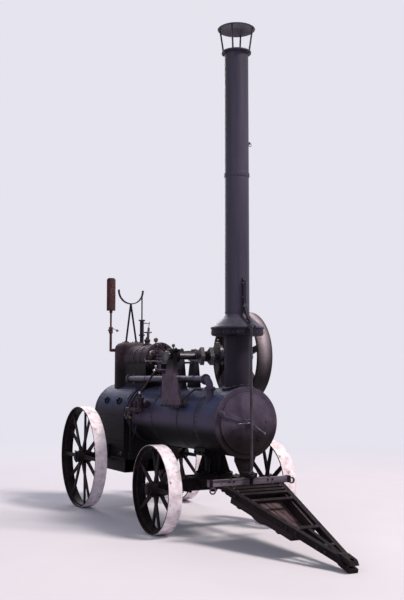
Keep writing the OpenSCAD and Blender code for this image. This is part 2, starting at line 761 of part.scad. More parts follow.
// Flywheel with a flat belt face and six curved-section arms.
module flywheel() {
    rim_t = 30;
    arms = 6;
    boss_r = 95;
    color("#3a353f") at_axle() translate([crank_x, flywheel_y, crank_z]) rotate([90, 0, 0]) difference() {
        union() {
            rotate_extrude() polygon([
                [flywheel_r - rim_t, -flywheel_w / 2], [flywheel_r - 4, -flywheel_w / 2], [flywheel_r, 0],
                [flywheel_r - 4, flywheel_w / 2], [flywheel_r - rim_t, flywheel_w / 2],
                [flywheel_r - rim_t, 24], [flywheel_r - rim_t - 26, 18],
                [flywheel_r - rim_t - 26, -18], [flywheel_r - rim_t, -24]]);
            translate([0, 0, -75]) cylinder(r = boss_r, h = 150);
            for (i = [0 : arms - 1]) rotate([0, 0, i * 360 / arms + 15])
                translate([0, 0, -16]) linear_extrude(height = 32)
                    polygon([[boss_r - 8, -38], [flywheel_r - rim_t - 10, -26],
                             [flywheel_r - rim_t - 10, 26], [boss_r - 8, 38]]);
        }
        translate([0, 0, -200]) cylinder(r = shaft_r + seat, h = 400);
    }
}

// Side plates on the barrel that carry the crankshaft bearings.
module crank_bracket() {
    foot_z = boiler_z + 133;
    knee_z = crank_z - 190;
    back = crank_x - 200;
    front = crank_x + 240;
    plate_y = bearing_y + 30;
    plate_t = 28;
    cap_z = crank_z + 52;
    color("#463c44") at_axle() difference() {
        union() {
            plate_xz(plate_y - plate_t / 2, plate_y + plate_t / 2, [
                [back, foot_z], [front, foot_z], [front, foot_z + 74],
                [crank_x + 90, knee_z], [back, knee_z]]);
            plate_xz(bearing_y - 50, plate_y, [
                [back + 10, foot_z], [front - 10, foot_z],
                [front - 10, foot_z + 34], [back + 10, foot_z + 34]]);
            plate_xz(plate_y - 32, plate_y + 12, [
                [crank_x - 120, knee_z - 10], [crank_x + 90, knee_z - 10], [crank_x + 80, crank_z - 40],
                [crank_x + 74, cap_z], [crank_x - 74, cap_z], [crank_x - 80, crank_z - 40]]);
            bar_y(66, bearing_y - 45, bearing_y + 42, crank_x, crank_z);
            block([back, plate_y + 12, foot_z], [front, plate_y + 26, foot_z + 20]);
        }
        bar_x(barrel_r + seat, barrel_back, barrel_front, 0, boiler_z);
        bar_y(shaft_r + run_gap, bearing_y - 100, bearing_y + 100, crank_x, crank_z);
    }
}
module crank_bracket_right() { mirror([0, 1, 0]) crank_bracket(); }
module crank_bracket_left() { crank_bracket(); }

// Governor stand, stepped out over the exhaust pipe, and the turning head.
gov_x = -840;
gov_y = -235;
gov_z = crank_z;
module governor_stand() {
    foot_z = boiler_z + 200;
    foot_y = -190;
    step_z = exh_z + 95;
    r = 17;
    color("#2b2730") at_axle() difference() {
        union() {
            bar_z(42, foot_z, foot_z + 130, gov_x, foot_y);
            bar_z(r, foot_z, step_z + r, gov_x, foot_y);
            block([gov_x - r, gov_y - r, step_z - r], [gov_x + r, foot_y + r, step_z + r]);
            bar_z(r, step_z, gov_z, gov_x, gov_y);
            bar_z(30, gov_z - 26, gov_z, gov_x, gov_y);
            bar_z(9, gov_z - 2, gov_z + 150, gov_x, gov_y);
        }
        bar_x(barrel_r + seat, barrel_back, barrel_front, 0, boiler_z);
        bar_x(barrel_r + band_t + seat, mid_band_x - seat, mid_band_x + band_w + seat, 0, boiler_z);
    }
}
module governor() {
    ball_r = 28;
    spread = 90;
    ball_z = 42;
    color("#3c3438") at_axle() translate([gov_x, gov_y, gov_z]) difference() {
        union() {
            bar_z(20, seat, 30);
            bar_z(34, 8, 22);
            bar_z(20, 108, 140);
            for (s = [-1, 1]) {
                rod([0, 0, 126], [0, s * spread, ball_z], 9);
                rod([0, s * spread, ball_z], [0, 0, 16], 7);
                translate([0, s * spread, ball_z]) ball(ball_r);
            }
        }
        bar_z(9 + run_gap, -10, 200);
    }
}

// Exhaust pipe from the cylinder to the smokebox, with an elbow at each end.
exh_y = -250;
exh_z = boiler_z + firebox_r + 60;
exh_r = 37;
exh_bend = 90;
module elbow(r, bend) { rotate_extrude(angle = 90) translate([bend, 0]) circle(r); }
module exhaust_pipe() {
    x0 = cylinder_front - 330;
    x1 = barrel_front + 60;
    y0 = -cylinder_saddle_y - seat;
    flange_r = exh_r + 18;
    flange_t = 9;
    // Straight lengths end inside the flanges, short of the elbows.
    lap = 3;
    color("#33303c") at_axle() {
        bar_x(exh_r, x0 + lap, x1 - lap, exh_y, exh_z);
        translate([x1, exh_y, exh_z - exh_bend]) rotate([90, 0, 0]) elbow(exh_r, exh_bend);
        translate([x0, exh_y + exh_bend, exh_z]) rotate([0, 0, 180]) elbow(exh_r, exh_bend);
        for (x = [x0, x1]) bar_x(flange_r, x - flange_t, x + flange_t, exh_y, exh_z);
        bar_y(flange_r, exh_y + exh_bend - flange_t, y0, x0 - exh_bend, exh_z);
        bar_z(flange_r, exh_z - exh_bend - flange_t, exh_z - exh_bend + flange_t, x1 + exh_bend, exh_y);
        difference() {
            bar_z(exh_r, boiler_z + 160, exh_z - exh_bend - lap, x1 + exh_bend, exh_y);
            bar_x(smokebox_r + seat, 0, 1000, 0, boiler_z, $fn = 160);
        }
    }
}

// Feed pump on the right flank, with its valve boxes.
pump_x = -1010;
pump_y = -392;
pump_z = 1265;
module feed_pump() {
    color("#453c42") at_axle() difference() {
        union() {
            bar_z(34, pump_z - 90, pump_z + 70, pump_x, pump_y);
            bar_z(44, pump_z + 52, pump_z + 70, pump_x, pump_y);
            bar_y(30, pump_y, -barrel_r + 60, pump_x, pump_z - 20);
            bar_x(24, pump_x - 380, pump_x, pump_y, pump_z - 70);
            for (x = [pump_x - 130, pump_x - 270]) {
                bar_z(30, pump_z - 110, pump_z - 10, x, pump_y);
                bar_z(14, pump_z - 10, pump_z + 20, x, pump_y);
            }
        }
        bar_x(barrel_r + seat, barrel_back, barrel_front, 0, boiler_z);
    }
}

// Rocking shaft and the slanting rod that works the pump.
module pump_rod() {
    top = [motion_x + 30, pump_y, crank_z - 150];
    color("#5d5860") at_axle() {
        bar_z(12, pump_z + 70 + seat, pump_z + 132, pump_x, pump_y);
        rod([pump_x, pump_y, pump_z + 120], top, 11);
        bar_y(22, pump_y - 16, pump_y + 16, top.x, top.z);
        bar_y(13, pump_y, -slide_y[1] - 24 - seat, top.x, top.z);
    }
}

// Two feed pipes that follow the barrel's curve, joined by a bend below.
module feed_pipes() {
    r = 11;
    lane = [barrel_back + 30, barrel_back + 120];
    nut_r = 16;
    arc_r = barrel_r + band_t + seat + nut_r;
    a0 = 180;
    a1 = 110;
    color("#35323d") at_axle() difference() {
        union() {
            for (x = lane)
                translate([x, 0, boiler_z]) rotate([90, 0, 90]) rotate([0, 0, a1])
                    rotate_extrude(angle = a0 - a1) translate([arc_r, 0]) circle(r);
            translate([(lane[0] + lane[1]) / 2, -arc_r, boiler_z])
                rotate([-90, 0, 0]) rotate_extrude(angle = 180)
                    translate([(lane[1] - lane[0]) / 2, 0]) circle(r);
            for (x = lane) bar_z(nut_r, boiler_z - 14, boiler_z + 14, x, -arc_r);
        }
        block([dome_x, -cylinder_saddle_y - seat, boiler_z], [cylinder_front, 0, crank_z]);
    }
}

// Suction pipe that hangs from the pump.
module suction_pipe() {
    color("#3c3840") at_axle() {
        bar_z(13, 640, pump_z - 70 - 40 - seat, pump_x - 270, pump_y);
        bar_z(20, pump_z - 150, pump_z - 110 - seat, pump_x - 270, pump_y);
        bar_z(22, 620, 690, pump_x - 270, pump_y);
    }
}

// Whistle on its bracket at the right of the dome.
whistle_x = dome_x - 110;
whistle_y = -240;
module whistle() {
    bell_h = 400;
    bowl_rise = 380;
    arm_z = dome_top - 95;
    valve_z = dome_top + 120;
    bowl_z = dome_top + bowl_rise;
    color("#6b3527") at_axle() translate([whistle_x, whistle_y, 0]) {
        bar_z(16, arm_z - 15, valve_z + 10);
        bar_z(26, valve_z, valve_z + 80);
        bar_z(12, valve_z + 70, bowl_z + 4);
        bar_z(20, bowl_z, bowl_z + 34);
        bar_z(56, bowl_z + 32, bowl_z + 32 + bell_h);
        bar_z(44, bowl_z + 32 + bell_h, bowl_z + 46 + bell_h);
        difference() {
            rod([0, 0, arm_z], [dome_x - whistle_x, -whistle_y, arm_z], 20);
            bar_z(dome_r + seat, arm_z - 100, arm_z + 90, dome_x - whistle_x, -whistle_y);
        }
    }
}

// Safety valve with its spindle and cross wheel, left of the crutch.
safety_back = 140;
safety_x = dome_x - safety_back;
safety_y = 205;
module safety_valve() {
    wheel_rise = 300;
    wheel_r = 44;
    arm_z = dome_top - 110;
    seat_z = dome_top + 100;
    wheel_z = dome_top + wheel_rise;
    color("#2b2628") at_axle() translate([safety_x, safety_y, 0]) {
        bar_z(26, arm_z - 40, wheel_z - 10);
        bar_z(40, seat_z, seat_z + 16);
        bar_z(9, wheel_z - 20, wheel_z + 340);
        rod([-wheel_r, 0, wheel_z], [wheel_r, 0, wheel_z], 9);
        rod([0, -wheel_r, wheel_z], [0, wheel_r, wheel_z], 9);
        difference() {
            rod([0, 0, arm_z], [dome_x - safety_x, -safety_y, arm_z], 22);
            bar_z(dome_r + seat, arm_z - 90, arm_z + 110, dome_x - safety_x, -safety_y);
        }
    }
}

// Perch under the barrel with the upper turntable plate and the king pin.
king_r = 26;
module perch() {
    color("#1e1b21") at_axle() difference() {
        union() {
            block([-120, -170, boiler_z - barrel_r - 30], [120, 170, boiler_z - barrel_r + 60]);
            bar_z(95, turntable_z + 20, boiler_z - barrel_r + 20, 0);
            bar_z(turntable_r, turntable_z + seat, turntable_z + 26, 0);
            for (a = [0 : 90 : 270]) rotate([0, 0, a + 45])
                plate_xz(-8, 8, [
                    [80, turntable_z + 20], [180, turntable_z + 20],
                    [100, boiler_z - barrel_r + 40], [80, boiler_z - barrel_r + 40]]);
            bar_z(king_r, turntable_z - 150, turntable_z + 30, 0);
        }
        bar_x(barrel_r + seat, -400, barrel_front - 1, 0, boiler_z);
    }
}

// Fore-carriage: lower turntable plate, bolster and two hounds that reach to the drawbar.
hound_y = 215;
hound_z1 = 548;
crossbar_x = 735;
pin_r = 14;
module fore_carriage() {
    color("#211d24") at_axle() difference() {
        union() {
            bar_z(turntable_r, turntable_z - 24, turntable_z, 0);
            block([-65, -430, front_wheel_r - 30], [65, 430, turntable_z - 22]);
            for (s = [-1, 1])
                block([-300, s * hound_y - 28, hound_z1 - 66],
                      [hitch_x + 34, s * hound_y + 28, hound_z1 - 14]);
            block([-300, -hound_y, hound_z1 - 66], [-250, hound_y, hound_z1 - 14]);
        }
        bar_z(king_r + run_gap, 300, turntable_z + 10, 0);
        bar_y(pin_r + run_gap, -600, 600, hitch_x, hitch_z);
        block([-32 - seat, -500, front_wheel_r - 60], [32 + seat, 500, front_wheel_r + 32]);
    }
}

// Front axle bar under the bolster.
module front_axle() {
    color("#2a262c") at_axle() difference() {
        union() {
            block([-32, -hub_y0 + 20, front_wheel_r - 32], [32, hub_y0 - 20, front_wheel_r + 32 - seat]);
            for (side = [0, 1]) mirror([0, side, 0]) journal(0, front_wheel_r, hub_y0 - 30);
        }
        bar_z(king_r + 1, 300, 600, 0);
    }
}

// Crossbar with an eye at its left end and a ring in a staple near its right end.
crossbar_z0 = hound_z1 - 14 + seat;
eye_r = [20, 32];
eye_y = crossbar_y + 20;
eye_z = crossbar_z0 + 14;
module crossbar() {
    h = 61;
    w = 46;
    eye_t = 20;
    ring_r = 30;
    ring_t = 8;
    ring_y = -410;
    ring_z = crossbar_z0 - ring_r - 8;
    staple = 14;
    color("#4c3a2c") at_axle() {
        difference() {
            union() {
                block([crossbar_x - w / 2, -crossbar_y, crossbar_z0],
                      [crossbar_x + w / 2, crossbar_y, crossbar_z0 + h]);
                bar_x(eye_r[1], crossbar_x - eye_t / 2, crossbar_x + eye_t / 2, eye_y, eye_z);
            }
            bar_x(eye_r[0], crossbar_x - w, crossbar_x + w, eye_y, eye_z);
        }
        block([crossbar_x - staple, ring_y - staple, ring_z + ring_r - ring_t - 4],
              [crossbar_x + staple, ring_y + staple, crossbar_z0 + 1]);
        translate([crossbar_x, ring_y, ring_z]) rotate([0, 90, 0])
            rotate_extrude() translate([ring_r, 0]) circle(ring_t);
    }
}

// Drawbar: two beams that close on a forged head with an upper and a lower jaw, slats at the
// wide end and a pole between the beams in front of the toolbox.
tip_y = 5;
beam_taper = 8;
box_s = [62, 890];
slat_t = 24;
slat_top = beam_h / 2 - 2;
jaw_hole_r = 20;
jaw_hole_s = drawbar_l - 46;
mouth_h = 30;
function beam_at(s) = beam_y + (tip_y - beam_y) * s / drawbar_l;
function beam_half(s) = (beam_w - beam_taper * s / drawbar_l) / 2;
module in_drawbar() { translate([hitch_x, 0, hitch_z]) rotate([0, drawbar_a, 0]) children(); }
module drawbar() {
    knuckle_r = 28;
    head_w = 44;
    head_l = 205;
    mouth_l = 105;
    beam_s = [40, drawbar_l - 120];
    pole_w = 18;
    color("#1f1a1c") at_axle() in_drawbar() difference() {
        union() {
            for (side = [0, 1]) mirror([0, side, 0]) {
                translate([0, 0, -beam_h / 2]) linear_extrude(height = beam_h)
                    polygon([for (e = [[beam_s[0], -1], [beam_s[1], -1], [beam_s[1], 1], [beam_s[0], 1]])
                        [e[0], beam_at(e[0]) + e[1] * beam_half(e[0])]]);
                bar_y(knuckle_r, beam_y - beam_w / 2, beam_y + beam_w / 2);
                block([0, beam_y - beam_w / 2, 4 - knuckle_r],
                      [beam_s[0] + 20, beam_y + beam_w / 2 - 8, knuckle_r - 4]);
            }
            // columns: distance from the hinge, width along the drawbar
            for (slat = [[60, 32], [125, 40], [195, 40], [345, 44],
                         [box_s[1] + 45, 50], [drawbar_l - 355, 36]])
                block([slat[0] - slat[1] / 2, -beam_at(slat[0]), slat_top - slat_t],
                      [slat[0] + slat[1] / 2, beam_at(slat[0]), slat_top]);
            block([box_s[1] + 30, -pole_w, -pole_w], [drawbar_l - head_l + 10, pole_w, slat_top - 4]);
            plate_xz(-head_w, head_w, [
                [drawbar_l - head_l, beam_h / 2], [drawbar_l - head_l + 60, head_h],
                [drawbar_l - head_nose, head_h], [drawbar_l, head_h - head_nose], [drawbar_l, -head_h],
                [drawbar_l - head_l + 60, -head_h], [drawbar_l - head_l, -beam_h / 2]]);
            // hinge pin across both hounds
            bar_y(pin_r, -beam_y - beam_w / 2 - 16, beam_y + beam_w / 2 + 16);
        }
        block([drawbar_l - mouth_l, -head_w - 20, -mouth_h / 2], [drawbar_l + 1, head_w + 20, mouth_h / 2]);
        bar_z(jaw_hole_r, -head_h - 10, head_h + 10, jaw_hole_s);
    }
}

// Toolbox hung between the beams: open at the top, tapering with them.
module toolbox() {
    t = 20;
    z0 = -beam_h / 2 - box_depth;
    z1 = slat_top - slat_t - 2;
    function inner(s) = beam_at(s) - beam_half(s) - seat;
    color("#2a1f1d") at_axle() in_drawbar() difference() {
        translate([0, 0, z0]) linear_extrude(height = z1 - z0)
            polygon([[box_s[0], -inner(box_s[0])], [box_s[1], -inner(box_s[1])],
                     [box_s[1], inner(box_s[1])], [box_s[0], inner(box_s[0])]]);
        translate([0, 0, z0 + t]) linear_extrude(height = z1 - z0)
            polygon([[box_s[0] + t, -inner(box_s[0]) + t], [box_s[1] - t, -inner(box_s[1]) + t],
                     [box_s[1] - t, inner(box_s[1]) - t], [box_s[0] + t, inner(box_s[0]) - t]]);
    }
}

boiler_barrel();
firebox();
ash_pan();
fire_door();
backhead_fittings();
smokebox();
smokebox_front();
smokebox_door();
door_handles();
chimney_base();
chimney_pipe();
chimney_cap();
chimney_lever();
tie_rod();
tie_rod_bracket();
chimney_crutch();
cylinder_block();
cylinder_cover();
valve_chest();
slide_bars();
crosshead();
motion_bracket();
connecting_rod();
crankshaft();
eccentric_rod();
valve_rod();
flywheel();
crank_bracket_right();
crank_bracket_left();
governor_stand();
governor();
exhaust_pipe();
feed_pump();
pump_rod();
feed_pipes();
suction_pipe();
whistle();
safety_valve();
rear_axle();
perch();
fore_carriage();
front_axle();
crossbar();
drawbar();
toolbox();
wheel_front_right();
wheel_front_left();
wheel_rear_right();
wheel_rear_left();
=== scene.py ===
"""Looks of a portable steam engine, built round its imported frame.

Each class below is one sub-assembly or one finish. Lengths are metres, in the frame's axes:
X to the smokebox and drawbar, Y to the engine's left, Z up.
"""
import logging
import math
from dataclasses import dataclass, field, replace
from enum import Enum
from typing import Any, Iterable, Sequence

import bpy
from mathutils import Matrix, Vector


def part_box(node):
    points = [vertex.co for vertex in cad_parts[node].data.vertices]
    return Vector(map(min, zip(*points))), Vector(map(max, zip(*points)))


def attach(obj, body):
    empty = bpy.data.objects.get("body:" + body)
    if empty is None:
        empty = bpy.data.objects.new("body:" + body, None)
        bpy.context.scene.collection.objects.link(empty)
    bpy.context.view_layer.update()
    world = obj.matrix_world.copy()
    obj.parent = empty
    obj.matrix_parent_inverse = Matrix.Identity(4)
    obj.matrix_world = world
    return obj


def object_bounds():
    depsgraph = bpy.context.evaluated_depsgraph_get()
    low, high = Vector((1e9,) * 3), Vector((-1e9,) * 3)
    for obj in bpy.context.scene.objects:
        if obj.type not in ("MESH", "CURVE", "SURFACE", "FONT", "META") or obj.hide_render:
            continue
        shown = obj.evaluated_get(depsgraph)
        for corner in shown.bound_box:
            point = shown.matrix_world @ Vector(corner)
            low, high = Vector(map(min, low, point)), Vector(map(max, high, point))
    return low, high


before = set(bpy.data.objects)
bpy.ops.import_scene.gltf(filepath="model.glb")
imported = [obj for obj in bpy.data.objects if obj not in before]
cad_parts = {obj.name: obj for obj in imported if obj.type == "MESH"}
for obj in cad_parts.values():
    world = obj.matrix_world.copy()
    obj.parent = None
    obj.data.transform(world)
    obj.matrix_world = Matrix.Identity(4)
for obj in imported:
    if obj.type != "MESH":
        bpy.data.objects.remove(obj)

LOG = logging.getLogger("engine")
CAD_BOX = [list(corner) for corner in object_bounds()]
Point = Sequence[float]
Profile = Sequence[tuple[float, float]]
Tree = bpy.types.NodeTree
Socket = bpy.types.NodeSocket
SIDES = (-1, 1)
AHEAD, BEHIND, UP, DOWN = (1, 0, 0), (-1, 0, 0), (0, 0, 1), (0, 0, -1)
# Centre lines of the boiler and of the cylinder and crankshaft.
BOILER_Z, ENGINE_Z = 1.123, 1.790
BARREL_R, BAND_R = 0.330, 0.337


def round_of(node: str) -> tuple[Vector, float]:
    """Return the middle of a CAD node's box and half its height."""
    low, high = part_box(node)
    return (low + high) / 2, (high.z - low.z) / 2


# The front axle is what the sizes along X are measured from.
AXLE_X = round_of("wheel_front_right")[0].x


def at(x: float, y: float, z: float) -> Vector:
    """Return a point whose X is measured from the front axle."""
    return Vector((AXLE_X + x, y, z))


class Plane(Enum):
    """A plane of the frame, as the numbers of its two axes."""

    XY = (0, 1)
    YZ = (1, 2)
    XZ = (0, 2)


def ray(degrees: float, plane: Plane = Plane.YZ, reach: float = 1.0) -> Vector:
    """Return a vector that lies in a plane.

    Args:
        degrees: Angle from the plane's first axis.
        plane: The plane.
        reach: The vector's length.

    Returns:
        The vector.
    """
    found = Vector((0, 0, 0))
    first, second = plane.value
    found[first] = reach * math.cos(math.radians(degrees))
    found[second] = reach * math.sin(math.radians(degrees))
    return found


def around(count: int, start: float = 0.0, plane: Plane = Plane.YZ, reach: float = 1.0) -> list[Vector]:
    """Return vectors spread evenly round a circle, from a first angle in degrees."""
    return [ray(start + 360 * k / count, plane, reach) for k in range(count)]


def linear(code: str) -> tuple[float, float, float, float]:
    """Turn an sRGB hex colour into linear RGBA.

    Args:
        code: Six hex digits after a hash sign.

    Returns:
        Linear red, green, blue and an alpha of one.
    """
    parts = [int(code[i:i + 2], 16) / 255 for i in (1, 3, 5)]
    return tuple(p / 12.92 if p <= 0.04045 else ((p + 0.055) / 1.055) ** 2.4 for p in parts) + (1.0,)


def add(tree: Tree, kind: str, inputs: dict[Any, Any] | None = None, out: int | str = 0,
        **settings: Any) -> Socket:
    """Add one shader node.

    Args:
        tree: The node tree to add to.
        kind: The node's type, without the ShaderNode prefix.
        inputs: Input name or number to a constant, a hex colour or an output socket.
        out: Name or number of the output that is wanted.
        **settings: Properties of the node.

    Returns:
        That output socket.
    """
    made = tree.nodes.new("ShaderNode" + kind)
    for name, value in settings.items():
        setattr(made, name, value)
    for name, value in (inputs or {}).items():
        if isinstance(value, Socket):
            tree.links.new(value, made.inputs[name])
        else:
            made.inputs[name].default_value = linear(value) if isinstance(value, str) else value
    return made.outputs[out]


class Weave(Enum):
    """How a stain is spread over a surface."""

    PATCHES = (1.0, 1.0, 1.0)
    STREAKS = (1.0, 1.0, 0.12)
    GRAIN_Y = (1.0, 0.06, 1.0)
    GRAIN_X = (0.06, 1.0, 1.0)


@dataclass(frozen=True)
class Finish:
    """One real material.

    The colour runs from tone to worn in stains. It is then given painted light and shade by which
    way the surface faces in the part's own axes: the side colour on the flanks and the underside
    colour below. It is rusted in patches, dusted on top and rubbed bare at its edges. pale_rim is
    the X and Z of an axis, the radius of its tread and the tread's colour. shade is painted shade
    by height: the height where it is full, the height where it has gone, and its colour. patch_mm
    is the real size of a stain. The real grit is under a millimetre and too fine to show in the
    render, so grit_mm draws it as coarse as it needs to show.
    """

    name: str
    slot: str
    tone: str
    worn: str
    side: str = ""
    under_shade: str = ""
    rust: str = "#5a3424"
    dust: str = "#8d8480"
    edge: str = "#7d7478"
    metallic: float = 0.0
    rough: tuple[float, float] = (0.5, 0.76)
    patch_mm: float = 220.0
    stains: Weave = Weave.PATCHES
    rust_part: float = 0.16
    dust_part: float = 0.25
    edge_part: float = 0.5
    bump_mm: float = 0.5
    grit_mm: float = 9.0
    specular: float = 0.5
    pale_rim: tuple[float, float, float, str] | None = None
    shade: tuple[float, float, str] | None = None

    def material(self) -> bpy.types.Material:
        """Make the material, or find it if it is made.

        Returns:
            The material.
        """
        made = bpy.data.materials.get(self.name)
        if made is None:
            made = bpy.data.materials.new(self.name)
            made.use_nodes = True
            where = add(made.node_tree, "TexCoord", out="Object")
            Coat(self, made.node_tree, where).lay(made.node_tree.nodes["Principled BSDF"])
        return made


@dataclass
class Coat:
    """The shader nodes that lay one finish on a surface, from its place in the part.

    The numbers in millimetres are real sizes: how wide the painted flank light and shade drifts,
    how wide dust lies, how long an edge stays rubbed, and the scuffs and rust spots of a tread.
    """

    finish: Finish
    tree: Tree
    where: Socket
    flank_mm: float = 420.0
    dust_mm: float = 60.0
    rub_mm: float = 35.0
    scuff_mm: float = 90.0
    spot_mm: float = 45.0
    edge_radius: float = 0.005

    def blotches(self, size_mm: float, low: float, high: float, detail: float = 4.0,
                 where: Socket | None = None) -> Socket:
        """Return noise of a real size, cut between two levels.

        Args:
            size_mm: Size of one blotch.
            low: Noise level that gives zero.
            high: Noise level that gives one.
            detail: Octaves of finer noise.
            where: Another position, such as one stretched along the run of the stains.

        Returns:
            A value socket from zero to one.
        """
        noise = add(self.tree, "TexNoise", {"Vector": self.where if where is None else where,
                                            "Scale": 1000 / size_mm, "Detail": detail, "Roughness": 0.62})
        return add(self.tree, "MapRange", {"Value": noise, "From Min": low, "From Max": high}, clamp=True)

    def facing(self, up: int, low: float, high: float) -> Socket:
        """Return how far the surface faces up or down.

        Args:
            up: One for up, minus one for down.
            low: Level of facing that gives zero.
            high: Level of facing that gives one.

        Returns:
            A value socket from zero to one.
        """
        normal = add(self.tree, "TexCoord", out="Normal")
        level = add(self.tree, "VectorMath", {0: normal, 1: (0, 0, up)}, "Value", operation="DOT_PRODUCT")
        return add(self.tree, "MapRange", {"Value": level, "From Min": low, "From Max": high},
                   clamp=True, interpolation_type="SMOOTHSTEP")

    def paint(self) -> Socket:
        """Stain the surface and paint light and shade on flanks and undersides, before rust, dust and wear.

        Returns:
            A colour socket.
        """
        finish, tree = self.finish, self.tree
        drawn = add(tree, "Mapping", {"Vector": self.where, "Scale": finish.stains.value})
        stain = self.blotches(finish.patch_mm, 0.36, 0.66, where=drawn)
        base = add(tree, "Mix", {0: stain, 6: finish.tone, 7: finish.worn}, 2, data_type="RGBA")
        # Flanks take the side colour as painted light and shade, in drifting blotches.
        if finish.side:
            lean = add(tree, "Math", {0: self.blotches(self.flank_mm, 0.25, 0.70), 1: 0.25, 2: 0.75},
                       operation="MULTIPLY_ADD")
            share = add(tree, "Math", {0: self.facing(-1, -0.42, -0.06), 1: lean}, operation="MULTIPLY")
            base = add(tree, "Mix", {0: share, 6: base, 7: finish.side}, 2, data_type="RGBA")
        # Undersides take the under colour as painted shade.
        if finish.under_shade:
            share = self.facing(-1, 0.02, 0.36)
            base = add(tree, "Mix", {0: share, 6: base, 7: finish.under_shade}, 2, data_type="RGBA")
        return base

    def wear(self, base: Socket, rust: Socket, bevel: Socket) -> Socket:
        """Return the colour with rust, dust on top and edges rubbed bare.

        Args:
            base: The colour so far.
            rust: Where the rust lies.
            bevel: The rounded normal, which finds the edges.

        Returns:
            A colour socket.
        """
        finish, tree = self.finish, self.tree
        base = add(tree, "Mix", {0: rust, 6: base, 7: finish.rust}, 2, data_type="RGBA")
        dusty = add(tree, "Math", {0: self.facing(1, 0.35, 0.95),
                                   1: self.blotches(self.dust_mm, 0.3, 0.7, 6.0)}, operation="MULTIPLY")
        dusty = add(tree, "Math", {0: dusty, 1: finish.dust_part}, operation="MULTIPLY")
        base = add(tree, "Mix", {0: dusty, 6: base, 7: finish.dust}, 2, data_type="RGBA")
        flat = add(tree, "NewGeometry", out="Normal")
        turned = add(tree, "VectorMath", {0: bevel, 1: flat}, "Value", operation="DOT_PRODUCT")
        rubbed = add(tree, "MapRange", {"Value": turned, "From Min": 0.995, "From Max": 0.86,
                                        "To Max": finish.edge_part}, clamp=True)
        rubbed = add(tree, "Math", {0: rubbed, 1: self.blotches(self.rub_mm, 0.40, 0.62, 6.0)},
                     operation="MULTIPLY")
        return add(tree, "Mix", {0: rubbed, 6: base, 7: finish.edge}, 2, data_type="RGBA")

    def rim(self, base: Socket) -> Socket:
        """Wear the tread pale, outside a radius round a Y axis.

        Args:
            base: The colour so far.

        Returns:
            A colour socket.
        """
        tree = self.tree
        x, z, radius, pale = self.finish.pale_rim
        out = add(tree, "VectorMath", {0: self.where, 1: (x, 0.0, z)}, operation="SUBTRACT")
        out = add(tree, "VectorMath", {0: out, 1: (1.0, 0.0, 1.0)}, operation="MULTIPLY")
        reach = add(tree, "VectorMath", {0: out}, "Value", operation="LENGTH")
        share = add(tree, "MapRange", {"Value": reach, "From Min": radius - 0.004,
                                       "From Max": radius - 0.0005}, clamp=True)
        for stain, colour in ((self.blotches(self.scuff_mm, 0.30, 0.75, 8.0), "#b5a5ab"),
                              (self.blotches(self.spot_mm, 0.62, 0.70, 8.0), "#6d5247")):
            pale = add(tree, "Mix", {0: stain, 6: pale, 7: colour}, 2, data_type="RGBA")
        return add(tree, "Mix", {0: share, 6: base, 7: pale}, 2, data_type="RGBA")

    def height_shade(self, base: Socket) -> Socket:
        """Paint shade that darkens the colour, full at one height and gone at another.

        Args:
            base: The colour so far.

        Returns:
            A colour socket.
        """
        tree = self.tree
        thick, clear, colour = self.finish.shade
        height = add(tree, "SeparateXYZ", {0: self.where}, "Z")
        uneven = add(tree, "TexNoise", {"Vector": self.where, "Scale": 6.0, "Detail": 3.0})
        height = add(tree, "Math", {0: uneven, 1: 0.12, 2: height}, operation="MULTIPLY_ADD")
        share = add(tree, "MapRange", {"Value": height, "From Min": thick + 0.06, "From Max": clear + 0.06,
                                       "To Min": 1.0, "To Max": 0.0},
                    clamp=True, interpolation_type="SMOOTHSTEP")
        return add(tree, "Mix", {0: share, 6: base, 7: colour}, 2, data_type="RGBA")

    def lay(self, shader: bpy.types.Node) -> None:
        """Join the finish's colour, roughness and bump to a shader.

        Args:
            shader: The material's Principled shader.
        """
        finish, tree = self.finish, self.tree
        rust = self.blotches(finish.patch_mm * 0.35, 0.70 - finish.rust_part, 0.78 - finish.rust_part, 8.0)
        wide = self.blotches(finish.patch_mm * 1.7, 0.40, 0.62)
        rust = add(tree, "Math", {0: rust, 1: wide}, operation="MULTIPLY")
        bevel = add(tree, "Bevel", {"Radius": self.edge_radius}, samples=6)
        base = self.wear(self.paint(), rust, bevel)
        if finish.pale_rim:
            base = self.rim(base)
        # Painted shade by height.
        if finish.shade:
            base = self.height_shade(base)
        grit = self.blotches(finish.grit_mm, 0.35, 0.7, 6.0)
        rough = add(tree, "MapRange", {"Value": grit, "To Min": finish.rough[0], "To Max": finish.rough[1]})
        height = add(tree, "Math", {0: rust, 1: grit, 2: grit}, operation="MULTIPLY_ADD")
        bump = add(tree, "Bump", {"Height": height, "Distance": finish.bump_mm / 1000, "Strength": 0.8,
                                  "Normal": bevel})
        tree.links.new(base, shader.inputs["Base Color"])
        tree.links.new(rough, shader.inputs["Roughness"])
        tree.links.new(bump, shader.inputs["Normal"])
        shader.inputs["Metallic"].default_value = finish.metallic
        shader.inputs["Specular IOR Level"].default_value = finish.specular


# Old stoving black over rolled plate. Its blue top, in tone and dust, is painted sky reflection over
# real dust; its mauve-brown flanks are painted side light; its black underside and belly are painted shade.
BOILER_BLACK = Finish("weathered_boiler_black_painted_light_and_shade", "dark_iron", "#25283b", "#3c405f", side="#41374a",
                      under_shade="#050305", rust="#3d2926", dust="#5f6484", edge="#6a6a80", rough=(0.36, 0.58),
                      stains=Weave.STREAKS, specular=0.06, rust_part=0.10, dust_part=0.10,
                      edge_part=0.35, shade=(0.80, 0.99, "#060406"))
# The same paint on the firebox, a little duller, with its flanks and lower part painted dark as shade.
FIREBOX_BLACK = replace(BOILER_BLACK, name="dulled_firebox_black_painted_shade", tone="#272c44", worn="#3b4162",
                        side="#1c1319", edge="#55536a", rough=(0.40, 0.62), shade=(0.95, 1.30, "#120e12"))
